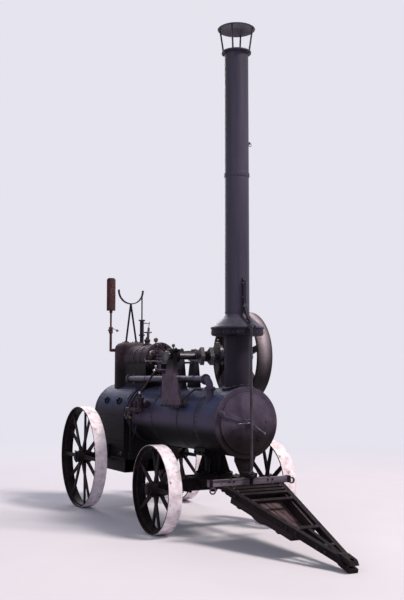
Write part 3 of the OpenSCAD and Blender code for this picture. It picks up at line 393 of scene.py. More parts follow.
# Pipes given a light grey as a painted highlight along their tops, with painted shade below.
PIPE_GREY = Finish("grey_pipe_painted_highlight_and_shade", "dark_iron", "#3b394d", "#5a566c", side="#3a3344", under_shade="#0a080b",
                   rust="#4a3733", dust="#6d7086", edge="#77738a", rough=(0.34, 0.5), patch_mm=120.0,
                   stains=Weave.STREAKS, specular=0.12, rust_part=0.12, dust_part=0.1, edge_part=0.35)
# The same black on the smoke pipe, dulled by heat.
CHIMNEY_BLACK = Finish("heat_dulled_chimney_black", "dark_iron", "#282531", "#3e394c", rust="#3c2b2a",
                       edge="#6c6873", rough=(0.36, 0.56), patch_mm=260.0, stains=Weave.STREAKS,
                       rust_part=0.10, dust_part=0.08, edge_part=0.4, specular=0.22)
# Near-black iron for small dark parts; on the chimney's foot its darkness is painted shade under the drum.
NEAR_BLACK_AND_SHADE = Finish("near_black_iron_and_painted_shade", "dark_iron", "#13101a", "#29232f", rust="#2c1f20",
                     edge="#4c4853", rough=(0.45, 0.68), stains=Weave.STREAKS, rust_part=0.08,
                     dust_part=0.06, edge_part=0.3, specular=0.10)
# Sand-cast iron whose thin black has gone mauve-brown in the sun; its undersides and lower parts are painted
# black as shade.
CASTING_BROWN = Finish("sun_browned_cast_iron", "brown_iron", "#231c24", "#3c313b", under_shade="#080506",
                       rust="#4e3029", edge="#6e6069", patch_mm=140.0, rust_part=0.18, bump_mm=0.8,
                       edge_part=0.4, specular=0.08, shade=(1.64, 1.84, "#0c080b"))
# The side plates of the crankshaft: browned below, painted dark as shade above, round the bearings.
SIDE_PLATE = replace(CASTING_BROWN, name="browned_side_plate_shaded_top", tone="#40353f", worn="#58495a",
                     under_shade="", rust="#5a3c34", edge="#7d6f78", patch_mm=150.0, rust_part=0.14,
                     shade=(1.70, 1.58, "#0e0a0e"))
# Castings low on the barrel's flank.
PUMP_IRON = replace(CASTING_BROWN, name="greasy_pump_iron", tone="#1a141b", worn="#33283a", under_shade="",
                    patch_mm=60.0, bump_mm=0.6, edge_part=0.5, specular=0.10, shade=None)
# The belt has kept the flywheel's rim bare. Its lower part is painted dark as shade.
FLYWHEEL_MIDDLE = round_of("flywheel")[0]
FLYWHEEL_IRON = Finish("flywheel_iron_bare_rim", "dark_iron", "#131016", "#262029", rust="#3c2b2a",
                       edge="#6c6873", rough=(0.45, 0.68), patch_mm=160.0, rust_part=0.10, dust_part=0.08,
                       edge_part=0.4, specular=0.12, shade=(1.55, 2.05, "#1c151b"),
                       pale_rim=(FLYWHEEL_MIDDLE.x, FLYWHEEL_MIDDLE.z, 0.500, "#978c97"))
# Smokebox front: pressed plate baked grey-mauve by the fire behind it, painted dark below its middle as
# shade and the dark ground's reflection.
FRONT_PLATE = Finish("baked_smokebox_plate", "brown_iron", "#383140", "#4e4556", rust="#46332e",
                     edge="#857a84", rough=(0.42, 0.64), patch_mm=190.0, rust_part=0.14,
                     specular=0.10, shade=(0.96, 1.16, "#1a1216"))
# Turned and planed steel, kept under a film of old oil.
BRIGHT_STEEL = Finish("oiled_machined_steel", "bright_steel", "#1a171d", "#3a3641", rust="#2f211e",
                      edge="#958e9d", metallic=0.45, rough=(0.26, 0.48), patch_mm=60.0, rust_part=0.2,
                      dust_part=0.1, bump_mm=0.2)
# Pins that the hand and the oil rag keep bright.
RUBBED_STEEL = replace(BRIGHT_STEEL, name="rubbed_pin_steel", tone="#8d8791", worn="#bdb7c1",
                       rust="#6a5248", edge="#d8d2da", metallic=0.6, rough=(0.25, 0.4), patch_mm=30.0,
                       rust_part=0.1, dust_part=0.05, bump_mm=0.1)
# The same steel left bare to the weather, gone brown between the rubbed places.
DULL_STEEL = replace(BRIGHT_STEEL, name="browned_bare_steel", tone="#3c343e", worn="#685f6d",
                     rust="#4a3229", edge="#8f868c", rough=(0.4, 0.62), patch_mm=55.0, rust_part=0.22,
                     bump_mm=0.3)
# Plain black iron of the carriage, dry and dusty.
CARRIAGE_BLACK = Finish("dry_black_carriage_iron", "drawbar_black", "#0c080b", "#181116", rust="#33211c",
                        dust="#4e4446", edge="#5f5355", rough=(0.52, 0.78), patch_mm=120.0,
                        dust_part=0.14, edge_part=0.45, bump_mm=0.7, specular=0.08)
# Whistle left to rust all over.
RED_RUST = Finish("even_red_brown_rust", "rust_red", "#2a1b20", "#41282b", rust="#553532", edge="#6f4a40",
                  rough=(0.7, 0.9), patch_mm=70.0, stains=Weave.STREAKS, rust_part=0.24, dust_part=0.1,
                  bump_mm=0.9, specular=0.2)
# Cast brass gone brown, rubbed bright where hands reach.
OLD_BRASS = Finish("tarnished_cast_brass", "old_brass", "#43351f", "#6b5734", rust="#33322a",
                   edge="#c4ab72", metallic=0.8, rough=(0.32, 0.5), patch_mm=50.0, bump_mm=0.3)
# Ash timber, grey where the weather reaches it.
OLD_ASH = Finish("weathered_ash_timber", "old_wood", "#3b343f", "#766c78", rust="#1c1519", dust="#857a80",
                 edge="#8d8086", rough=(0.65, 0.85), patch_mm=45.0, stains=Weave.GRAIN_Y, dust_part=0.45,
                 grit_mm=4.0, bump_mm=0.8, specular=0.2)
# Boards of the toolbox, browner and darker where tools have lain; their sides and undersides are painted
# dark as shade.
OLD_BOARD = replace(OLD_ASH, name="brown_floor_board", tone="#33252a", worn="#5c484e", side="#160e10",
                    under_shade="#0c0809", rust="#150e0f", dust="#6b585a", edge="#6b565b", patch_mm=60.0,
                    stains=Weave.GRAIN_X)
# Copper pipe gone brown-black.
OLD_COPPER = Finish("oxidised_copper_pipe", "old_brass", "#3a2a26", "#5e4436", rust="#2b3a34",
                    edge="#a9775c", metallic=0.6, rough=(0.4, 0.6), patch_mm=60.0, stains=Weave.STREAKS,
                    bump_mm=0.2)
# Gauge face of fired enamel, yellowed.
GAUGE_FACE = Finish("ivory_gauge_enamel", "old_brass", "#cfc8b6", "#dcd6c6", rust="#a2977f",
                    edge="#cfc8b6", rough=(0.3, 0.4), patch_mm=30.0, stains=Weave.STREAKS,
                    rust_part=0.05, dust_part=0.1, bump_mm=0.05)


def wheel_finish(node: str) -> Finish:
    """Return the finish of one wheel: black iron, with the tread worn to pale steel.

    Args:
        node: The wheel's CAD node.

    Returns:
        Its finish, with the tread's radius taken from the node.
    """
    centre, radius = round_of(node)
    return Finish(node + "_black_iron_pale_tread", "tyre_steel", "#0d090d", "#1a131a", rust="#33221f",
                  dust="#4f4548", edge="#5c5056", rough=(0.5, 0.78), patch_mm=110.0, dust_part=0.15,
                  bump_mm=0.7, specular=0.10, pale_rim=(centre.x, centre.z, radius, "#fbf0f8"))


FINISHES: dict[Finish, tuple[str, ...]] = {
    BOILER_BLACK: ("boiler_barrel", "smokebox", "perch", "governor_stand"),
    FIREBOX_BLACK: ("firebox", "ash_pan", "suction_pipe"),
    PIPE_GREY: ("exhaust_pipe", "feed_pipes"),
    CHIMNEY_BLACK: ("chimney_pipe", "chimney_cap"),
    NEAR_BLACK_AND_SHADE: ("chimney_base", "chimney_crutch", "chimney_lever", "safety_valve", "motion_bracket"),
    CASTING_BROWN: ("cylinder_block", "cylinder_cover", "valve_chest"),
    SIDE_PLATE: ("crank_bracket_right", "crank_bracket_left"),
    PUMP_IRON: ("feed_pump", "governor", "pump_rod", "fire_door"),
    FLYWHEEL_IRON: ("flywheel",),
    FRONT_PLATE: ("smokebox_front", "smokebox_door"),
    BRIGHT_STEEL: ("slide_bars", "crosshead", "connecting_rod", "crankshaft", "eccentric_rod",
                   "valve_rod", "tie_rod"),
    DULL_STEEL: ("door_handles",),
    CARRIAGE_BLACK: ("fore_carriage", "front_axle", "rear_axle", "tie_rod_bracket", "drawbar"),
    RED_RUST: ("whistle",),
    OLD_BRASS: ("backhead_fittings",),
    OLD_ASH: ("crossbar",),
    OLD_BOARD: ("toolbox",),
}


def dress_frame() -> None:
    """Give every CAD node the finish of its real material."""
    chosen = {node: finish for finish, nodes in FINISHES.items() for node in nodes}
    for name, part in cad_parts.items():
        finish = chosen.get(name) or wheel_finish(name)
        for held in part.material_slots:
            held.material = finish.material()
        LOG.info("dressed %s in %s", name, finish.name)


@dataclass
class Shape:
    """A mesh gathered from simple turned, swept and cut forms."""

    verts: list[Vector] = field(default_factory=list)
    faces: list[tuple[int, ...]] = field(default_factory=list)

    def rings(self, loops: Sequence[Sequence[Vector]], caps: bool = True) -> None:
        """Join closed loops of points into a skin.

        Args:
            loops: Loops with the same number of points.
            caps: Whether the first and last loops are filled.
        """
        start, count = len(self.verts), len(loops[0])
        for loop in loops:
            self.verts.extend(Vector(p) for p in loop)
        for a in range(start, start + (len(loops) - 1) * count, count):
            for i in range(count):
                j = (i + 1) % count
                self.faces.append((a + i, a + j, a + count + j, a + count + i))
        if caps:
            last = start + (len(loops) - 1) * count
            self.faces.append(tuple(range(start + count - 1, start - 1, -1)))
            self.faces.append(tuple(range(last, last + count)))

    def lathe(self, origin: Point, axis: Point, profile: Profile, sides: int = 16,
              twist: float = 0.0) -> None:
        """Turn a profile about an axis.

        Args:
            origin: Where the axis starts.
            axis: The way it runs.
            profile: Pairs of radius and height along the axis.
            sides: Faces round the turning.
            twist: Angle of the first corner, in radians.
        """
        turn = Vector(axis).normalized().to_track_quat("Z", "Y").to_matrix()
        angles = [twist + 2 * math.pi * i / sides for i in range(sides)]
        self.rings([[Vector(origin) + turn @ Vector((radius * math.cos(a), radius * math.sin(a), height))
                     for a in angles] for radius, height in profile])

    def rivet(self, origin: Point, axis: Point, radius: float = 0.009) -> None:
        """Add a snap-head rivet.

        Args:
            origin: The middle of its seat.
            axis: The way it points.
            radius: Radius of the head.
        """
        profile = [(radius, -0.002)] + [(radius * wide, radius * high)
                                        for wide, high in ((0.93, 0.3), (0.66, 0.58), (0.22, 0.72))]
        self.lathe(origin, axis, profile, 10)

    def nut(self, origin: Point, axis: Point, across: float = 0.026, stud: bool = True,
            twist: float = 0.0) -> None:
        """Add a hexagon nut with its chamfer.

        Args:
            origin: The middle of its seat.
            axis: The way it points.
            across: Size across its flats.
            stud: Whether the end of a stud stands out of it.
            twist: Angle of its first corner, in radians.
        """
        r, s = across / 2 / math.cos(math.pi / 6), across * 0.27
        self.lathe(origin, axis, [(r, -0.001), (r, across * 0.36), (r * 0.86, across * 0.45)], 6, twist)
        if stud:
            self.lathe(origin, axis, [(s, 0.0), (s, across * 0.62), (s * 0.7, across * 0.68)], 10)

    def nuts(self, places: Iterable[Point], axis: Point, across: float) -> None:
        """Add nuts of one size that face one way."""
        for place in places:
            self.nut(place, axis, across)

    def rivets(self, places: Iterable[Point], axis: Point, radius: float) -> None:
        """Add rivets of one size that face one way."""
        for place in places:
            self.rivet(place, axis, radius)

    def tube(self, path: Sequence[Point], radius: float | Sequence[float], sides: int = 12) -> None:
        """Sweep a round section along a path.

        Args:
            path: The points it follows.
            radius: One radius, or one for each point.
            sides: Faces round the section.
        """
        points = [Vector(p) for p in path]
        radii = [radius] * len(points) if isinstance(radius, float) else radius
        loops, side = [], None
        for i, p in enumerate(points):
            ahead = (points[min(i + 1, len(points) - 1)] - points[max(i - 1, 0)]).normalized()
            side = ahead.orthogonal().normalized() if side is None else side
            side = (side - ahead * side.dot(ahead)).normalized()
            up = ahead.cross(side)
            loops.append([p + radii[i] * (math.cos(a) * side + math.sin(a) * up)
                          for a in (2 * math.pi * k / sides for k in range(sides))])
        self.rings(loops)

    def ring(self, centre: Point, axis: Point, radius: float, thick: float, sides: int = 28) -> None:
        """Add a ring of round bar.

        Args:
            centre: Its middle.
            axis: The axis it lies round.
            radius: Radius to the middle of the bar.
            thick: Radius of the bar.
            sides: Pieces round the ring.
        """
        turn = Vector(axis).normalized().to_track_quat("Z", "Y").to_matrix()
        up = turn @ Vector(UP)
        loops = []
        for out in (turn @ flat for flat in around(sides, 0, Plane.XY)):
            loops.append([Vector(centre) + out * radius + thick * (bend.x * out + bend.y * up)
                          for bend in around(10, 0, Plane.XY)])
        self.rings(loops + [loops[0]], False)

    def slab(self, centre: Point, size: Point, turn: Matrix | None = None, edge: float = 0.003) -> None:
        """Add a plate or bar with chamfered edges.

        Args:
            centre: Its middle.
            size: Its three sizes.
            turn: How it is turned, if it is.
            edge: Width of the chamfer.
        """
        long = max(range(3), key=lambda k: size[k])
        u, v = [k for k in range(3) if k != long]
        c = min(edge, size[u] / 4, size[v] / 4)
        a, b = size[u] / 2, size[v] / 2
        outline = [(a, b - c), (a - c, b), (c - a, b), (-a, b - c),
                   (-a, c - b), (c - a, -b), (a - c, -b), (a, c - b)]
        loops = []
        for step, shrink in ((-1, c), (-1, 0), (1, 0), (1, c)):
            loop = []
            for p, q in outline:
                w = Vector((0, 0, 0))
                w[long] = step * (size[long] / 2 - c + shrink)
                w[u], w[v] = p * (a - shrink) / a, q * (b - shrink) / b
                loop.append(Vector(centre) + (turn @ w if turn else w))
            loops.append(loop)
        self.rings(loops)

    def strap(self, centre: Point, radius: float, start: float, end: float, width: float = 0.03,
              thick: float = 0.003, steps: int = 40) -> None:
        """Bend a flat strap round an X axis, between two angles in degrees from +Y.

        Args:
            centre: Middle of the round, in the frame.
            radius: Radius of the surface it lies on.
            start: First angle.
            end: Last angle.
            width: Width along X.
            thick: Thickness.
            steps: Pieces along the bend.
        """
        loops = []
        for out in (ray(start + (end - start) * k / steps) for k in range(steps + 1)):
            loops.append([Vector(centre) + out * (radius + up) + Vector((side * width / 2, 0, 0))
                          for side, up in ((-1, -0.001), (-1, thick), (1, thick), (1, -0.001))])
        self.rings(loops)

    def oil_cup(self, base: Point, height: float = 0.045, radius: float = 0.014) -> None:
        """Add a turned oil cup with its lid.

        Args:
            base: Where it stands.
            height: Its height.
            radius: Radius of its bowl.
        """
        shares = ((0.55, 0.22), (0.35, 0.26), (0.35, 0.36), (0.9, 0.46), (1.0, 0.56), (1.0, 0.84),
                  (0.85, 0.88), (0.5, 0.97), (0.12, 1.0))
        profile = [(radius * 0.55, -0.002)] + [(radius * wide, height * high) for wide, high in shares]
        self.lathe(base, UP, profile, 18)

    def piece(self, name: str, body: str, finish: Finish) -> None:
        """Make the object, dress it and let it ride on a body.

        Args:
            name: The piece's name.
            body: The CAD body it moves with.
            finish: Its material.
        """
        mesh = bpy.data.meshes.new(name)
        mesh.from_pydata(self.verts, [], self.faces)
        mesh.update()
        mesh.materials.append(finish.material())
        mesh.polygons.foreach_set("use_smooth", [True] * len(mesh.polygons))
        mesh.set_sharp_from_angle(angle=math.radians(35))
        made = bpy.data.objects.new(name, mesh)
        bpy.context.scene.collection.objects.link(made)
        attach(made, body)
        LOG.info("%s: %d faces on %s", name, len(self.faces), body)


@dataclass
class Boiler:
    """Rivets, stay heads, hand-hole covers and plugs of the barrel, smokebox and firebox shell."""

    smokebox_r: float = 0.343
    firebox_r: float = 0.362
    back_x: float = -2.520
    front_x: float = -1.560
    bracket_x: float = -2.120
    foot_z: float = 0.590
    pitch: float = 0.052
    head_r: float = 0.0085
    stay_head: Profile = ((0.0115, -0.001), (0.0105, 0.003), (0.006, 0.0045))

    def rivet_rings(self) -> None:
        """Rivet the lap bands of the barrel and both ends of the smokebox."""
        shape = Shape()
        # place along X, radius, and the stretch of degrees that something else covers
        for x, radius, low, high in ((0.207, BAND_R, 0, 0), (-0.857, BAND_R, 82, 137),
                                     (-1.529, BAND_R, 62, 186), (0.256, self.smokebox_r, 0, 0),
                                     (0.640, self.smokebox_r, 74, 106)):
            count = round(2 * math.pi * radius / self.pitch)
            for degrees in ((k + 0.5) * 360 / count for k in range(count)):
                if not low < degrees < high:
                    out = ray(degrees)
                    shape.rivet(at(x, 0, BOILER_Z) + out * radius, out, self.head_r)
        shape.piece("boiler_band_rivets", "chassis", BOILER_BLACK)

    def shell_outline(self) -> list[tuple[Vector, Vector]]:
        """Walk the firebox shell's outline in steps of a rivet pitch.

        Returns:
            Points of the outline, each with the way out of the shell.
        """
        low = self.foot_z + 0.05
        steps = round((BOILER_Z - low) / self.pitch)
        places = [(Vector((0, side * self.firebox_r, low + k * (BOILER_Z - low) / steps)),
                   Vector((0, side, 0))) for side in SIDES for k in range(steps)]
        count = round(math.pi * self.firebox_r / self.pitch)
        return places + [(Vector((0, 0, BOILER_Z)) + out * self.firebox_r, out)
                         for out in (ray(180 * k / count) for k in range(count + 1))]

    def firebox_rivets(self) -> None:
        """Rivet the firebox shell round both ends and along its foot."""
        shape = Shape()
        # the whistle's foot and the cylinder's saddle cover the middle of the crown
        for place, out in self.shell_outline():
            for x, covered in ((self.back_x + 0.035, 0.05), (self.front_x - 0.035, 0.17)):
                if abs(place.y) >= covered or place.z <= BOILER_Z:
                    shape.rivet(at(x, place.y, place.z), out, self.head_r)
        for side in SIDES:
            for x in (self.back_x + 0.06 + k * 0.0525 for k in range(17)):
                if abs(x - self.bracket_x) > 0.175:
                    shape.rivet(at(x, side * self.firebox_r, self.foot_z + 0.035), (0, side, 0), self.head_r)
        shape.piece("firebox_rivets", "chassis", BOILER_BLACK)

    def stay_heads(self) -> None:
        """Set the heads of the screwed stays in rows on the flat sides and the backhead."""
        shape = Shape()
        for side in SIDES:
            for z in (0.71, 0.81, 0.91, 1.01, 1.11):
                for x in (self.back_x + 0.12 + k * 0.102 for k in range(8)):
                    if z > 0.78 or abs(x - self.bracket_x) > 0.19:
                        shape.lathe(at(x, side * self.firebox_r, z), (0, side, 0), self.stay_head, 10)
        for z, reach in ((0.66, 3), (0.73, 3), (1.20, 1)):
            for k in range(-reach, reach + 1):
                shape.lathe(at(self.back_x, k * 0.09, z), BEHIND, self.stay_head, 10)
        shape.piece("firebox_stay_heads", "chassis", BOILER_BLACK)

    def backhead_rivets(self) -> None:
        """Rivet the edge of the flat backhead."""
        shape = Shape()
        inset = 0.03
        shape.rivets([at(self.back_x, 0, 0) + place - out * inset for place, out in self.shell_outline()],
                     BEHIND, self.head_r)
        shape.piece("backhead_rivets", "chassis", BOILER_BLACK)

    def hand_holes(self) -> None:
        """Close the oval hand holes on the shoulders with their covers, bridges and nuts."""
        shape = Shape()
        long, wide = 0.066, 0.046
        for out in (ray(25), ray(155)):
            across = Vector(AHEAD).cross(out)
            for x in (-2.17, -1.78):
                centre = at(x, 0, BOILER_Z) + out * self.firebox_r
                shape.rings([[centre + out * height + scale * (long * turn.x * Vector(AHEAD)
                                                               + wide * turn.y * across)
                              for turn in around(28, 0, Plane.XY)]
                             for scale, height in ((1.0, -0.004), (1.0, 0.006), (0.92, 0.010),
                                                   (0.80, 0.010), (0.76, 0.006))])
                shape.tube([centre + out * 0.020 + across * s * 0.040 for s in SIDES], 0.009, 8)
                shape.nut(centre + out * 0.024, out, 0.030)
        shape.piece("hand_hole_covers", "chassis", CASTING_BROWN)

    def washout_plugs(self) -> None:
        """Screw square-headed brass plugs into the corners of the water space."""
        shape = Shape()
        for side in SIDES:
            for x in (self.back_x + 0.075, self.front_x - 0.075):
                centre = at(x, side * self.firebox_r, 0.662)
                shape.lathe(centre, (0, side, 0), [(0.024, -0.001), (0.024, 0.008), (0.021, 0.011)])
                shape.lathe(centre, (0, side, 0), [(0.016, 0.009), (0.016, 0.030), (0.013, 0.033)], 4, 0.4)
        shape.piece("washout_plugs", "chassis", OLD_BRASS)

    def build(self) -> None:
        """Build every fitting of the boiler."""
        for make in (self.rivet_rings, self.firebox_rivets, self.stay_heads, self.backhead_rivets,
                     self.hand_holes, self.washout_plugs):
            make()


@dataclass
class Smokebox:
    """Small parts on the smokebox door, its pin and the dart."""

    front_x: float = 0.675
    door_r: float = 0.296
    rim_t: float = 0.016
    dish: float = 0.042
    pin: tuple[float, float] = (-0.289, 1.215)
    ring_r: float = 0.351

    def door_face(self, y: float, z: float) -> Vector:
        """Find a point on the face of the dished door.

        Args:
            y: Its place to the side.
            z: Its height.

        Returns:
            The point.
        """
        chord = self.door_r - 0.012
        bulge = (chord ** 2 + self.dish ** 2) / (2 * self.dish)
        deep = bulge - math.sqrt(bulge ** 2 - math.hypot(y, z - BOILER_Z) ** 2)
        return at(self.front_x + self.rim_t + self.dish - deep, y, z)

    def door_fittings(self) -> None:
        """Rivet the arm to the door, and fit its studs."""
        shape = Shape()
        start = at(self.front_x, *self.pin)
        along = (at(self.front_x, 0, BOILER_Z) - start).normalized()
        across = Vector((0, -along.z, along.y))
        for run, height in ((0.075, 0.0455), (0.135, 0.0540), (0.235, 0.0655)):
            shape.rivets([start + along * run + across * side * 0.011 + Vector((height, 0, 0))
                          for side in SIDES], AHEAD, 0.0075)
        shape.nut(self.door_face(0.108, 0.959), AHEAD, 0.026)
        shape.nut(self.door_face(0.207, 1.136), AHEAD, 0.022)
        shape.piece("smokebox_door_fittings", "smokebox_door", FRONT_PLATE)

    def dart_fittings(self) -> None:
        """Add the dart's washer and the knobs of both handles."""
        shape = Shape()
        shape.lathe(at(self.front_x + 0.0980, 0, BOILER_Z), AHEAD,
                    [(0.013, 0), (0.013, 0.009), (0.010, 0.012)], 14)
        for x, y, z in ((0.0766, -0.142, -0.006), (0.0646, 0.160, -0.106)):
            shape.lathe(at(self.front_x + x, y, BOILER_Z + z), AHEAD,
                        [(0.004, 0.0), (0.010, 0.004), (0.0125, 0.012), (0.010, 0.020), (0.004, 0.024)], 14)
        shape.piece("dart_fittings", "smokebox_door", DULL_STEEL)

    def pin_and_ring(self) -> None:
        """Nut the door's pin, and rivet the front plate to the shell clear of the door's path."""
        pin = Shape()
        pin.nut(at(self.front_x + 0.0526, *self.pin), AHEAD, 0.030)
        pin.piece("door_pin_nut", "chassis", FRONT_PLATE)
        ring = Shape()
        for out in around(36, 5):
            ring.rivet(at(self.front_x - 0.010, 0, BOILER_Z) + out * self.ring_r, out, 0.006)
        ring.piece("front_ring_rivets", "chassis", FRONT_PLATE)

    def build(self) -> None:
        """Build every fitting of the smokebox front."""
        self.door_fittings()
        self.dart_fittings()
        self.pin_and_ring()


@dataclass
class Chimney:
    """Seams, rivets and bolts of the folding chimney."""

    x: float = 0.500
    pipe_r: float = 0.123
    drum_r: float = 0.262
    joint_z: float = 2.052
    cone_top_z: float = 2.192
    seam_z: float = 3.599
    top_z: float = 4.912
    cap_r: float = 0.195
    cap_z: float = 5.148
    saddle_r: float = 0.3693
    foot_r: float = 0.142
    lap_degrees: float = 215.0
    head_r: float = 0.0055

    def ring_of(self, shape: Shape, radius: float, z: float, count: int, head_r: float,
                turn: float = 0.0) -> None:
        """Set rivets round the pipe at one height."""
        for out in around(count, turn, Plane.XY):
            shape.rivet(at(self.x, 0, z) + out * radius, out, head_r)

    def pipe_rivets(self) -> None:
        """Rivet the collar of the seam, the lip and the cone's band."""
        shape = Shape()
        collar_r = self.pipe_r + 0.005
        for radius, z, turn in ((collar_r, self.seam_z + 0.011, 0), (collar_r, self.seam_z + 0.029, 10),
                                (self.pipe_r, self.top_z - 0.035, 0),
                                (self.pipe_r, self.cone_top_z + 0.024, 0)):
            self.ring_of(shape, radius, z, 18, self.head_r, turn)
        shape.piece("chimney_rivets", "chimney", CHIMNEY_BLACK)

    def lap_seam(self) -> None:
        """Run the riveted lap of the rolled plate down the back of both lengths of pipe."""
        shape = Shape()
        half, thick, pitch = 0.022, 0.003, 0.085
        inner, outer = self.pipe_r - 0.002, self.pipe_r + thick
        turns = [math.degrees(half / self.pipe_r) * share for share in (-1, -0.5, 0, 0.5, 1)]
        flat = [ray(self.lap_degrees + turn, Plane.XY, inner) for turn in turns]
        flat += [ray(self.lap_degrees + turn, Plane.XY, outer) for turn in reversed(turns)]
        out = ray(self.lap_degrees, Plane.XY)
        for low, high in ((self.cone_top_z + 0.05, self.seam_z), (self.seam_z + 0.040, self.top_z - 0.014)):
            shape.rings([[at(self.x, 0, z) + corner for corner in flat] for z in (low, high)])
            count = round((high - low) / pitch)
            shape.rivets([at(self.x, 0, low + (k + 0.5) * (high - low) / count) + out * outer
                          for k in range(count)], out, self.head_r)
        shape.piece("chimney_lap_seam", "chimney", CHIMNEY_BLACK)

    def cone_rivets(self) -> None:
        """Rivet the rim of the hinged cone, and the fixed drum and saddle below it."""
        rim, fixed = Shape(), Shape()
        self.ring_of(rim, self.drum_r + 0.006, self.joint_z + 0.007, 32, 0.0045)
        rim.piece("cone_rim_rivets", "chimney", CHIMNEY_BLACK)
        self.ring_of(fixed, self.drum_r, self.joint_z - 0.040, 32, 0.0065, 5.6)
        for out in around(12, 15, Plane.XY, self.foot_r):
            height = math.sqrt(self.saddle_r ** 2 - out.y ** 2) + BOILER_Z
            fixed.rivet(at(self.x, 0, height) + out, UP, 0.009)
        fixed.piece("drum_and_saddle_rivets", "chassis", CHIMNEY_BLACK)

    def cap_rivets(self) -> None:
        """Show the riveted ends of the stays on the cap and below the lip."""
        shape = Shape()
        for out in around(4, 45, Plane.XY):
            shape.rivet(at(self.x, 0, self.cap_z + 0.014) + out * (self.cap_r - 0.022), UP, 0.008)
            shape.nut(at(self.x, 0, self.top_z - 0.0140) + out * (self.pipe_r + 0.014), DOWN, 0.016)
        shape.lathe(at(self.x, 0, self.cap_z + 0.0415), UP, [(0.012, -0.001), (0.010, 0.003)], 12)
        shape.piece("cap_stay_rivets", "chimney", CHIMNEY_BLACK)

    def lever_bolts(self) -> None:
        """Bolt the bent lever to the pipe and the cone."""
        shape = Shape()
        half_t = 0.014
        pipe, drum = self.x + self.pipe_r, self.x + self.drum_r
        for x, z in ((pipe + 0.014, 2.50), (pipe + 0.014, 2.36), (pipe + 0.030, 2.27), (drum - 0.05, 2.135)):
            for side in SIDES:
                shape.nut(at(x, side * half_t, z), (0, side, 0), 0.020)
        for side in SIDES:
            shape.lathe(at(drum + 0.021, side * 0.034, self.joint_z + 0.008), (0, side, 0),
                        [(0.019, -0.001), (0.019, 0.005), (0.008, 0.005), (0.008, 0.014)])
        shape.piece("lever_bolts", "chimney", CHIMNEY_BLACK)

    def hinge_and_guy(self) -> None:
        """Pin the ends of the chimney's hinge, and hang the ring where a guy would be hooked."""
        shape = Shape()
        x = self.x - self.drum_r - 0.030
        for side in SIDES:
            shape.lathe(at(x, side * 0.0885, self.joint_z), (0, side, 0), [(0.018, 0.0), (0.018, 0.004)])
            shape.tube([at(x, side * 0.096, self.joint_z + up) for up in (-0.018, 0.018)], 0.003, 6)
        shape.piece("chimney_hinge_ends", "chimney", DULL_STEEL)
        guy = Shape()
        guy.ring(at(self.x, self.pipe_r + 0.034, 3.958), (1, 0.2, 0), 0.018, 0.0035, 20)
        guy.piece("guy_ring", "chimney", CHIMNEY_BLACK)

    def build(self) -> None:
        """Build every fitting of the chimney."""
        for make in (self.pipe_rivets, self.lap_seam, self.cone_rivets, self.cap_rivets, self.lever_bolts,
                     self.hinge_and_guy):
            make()


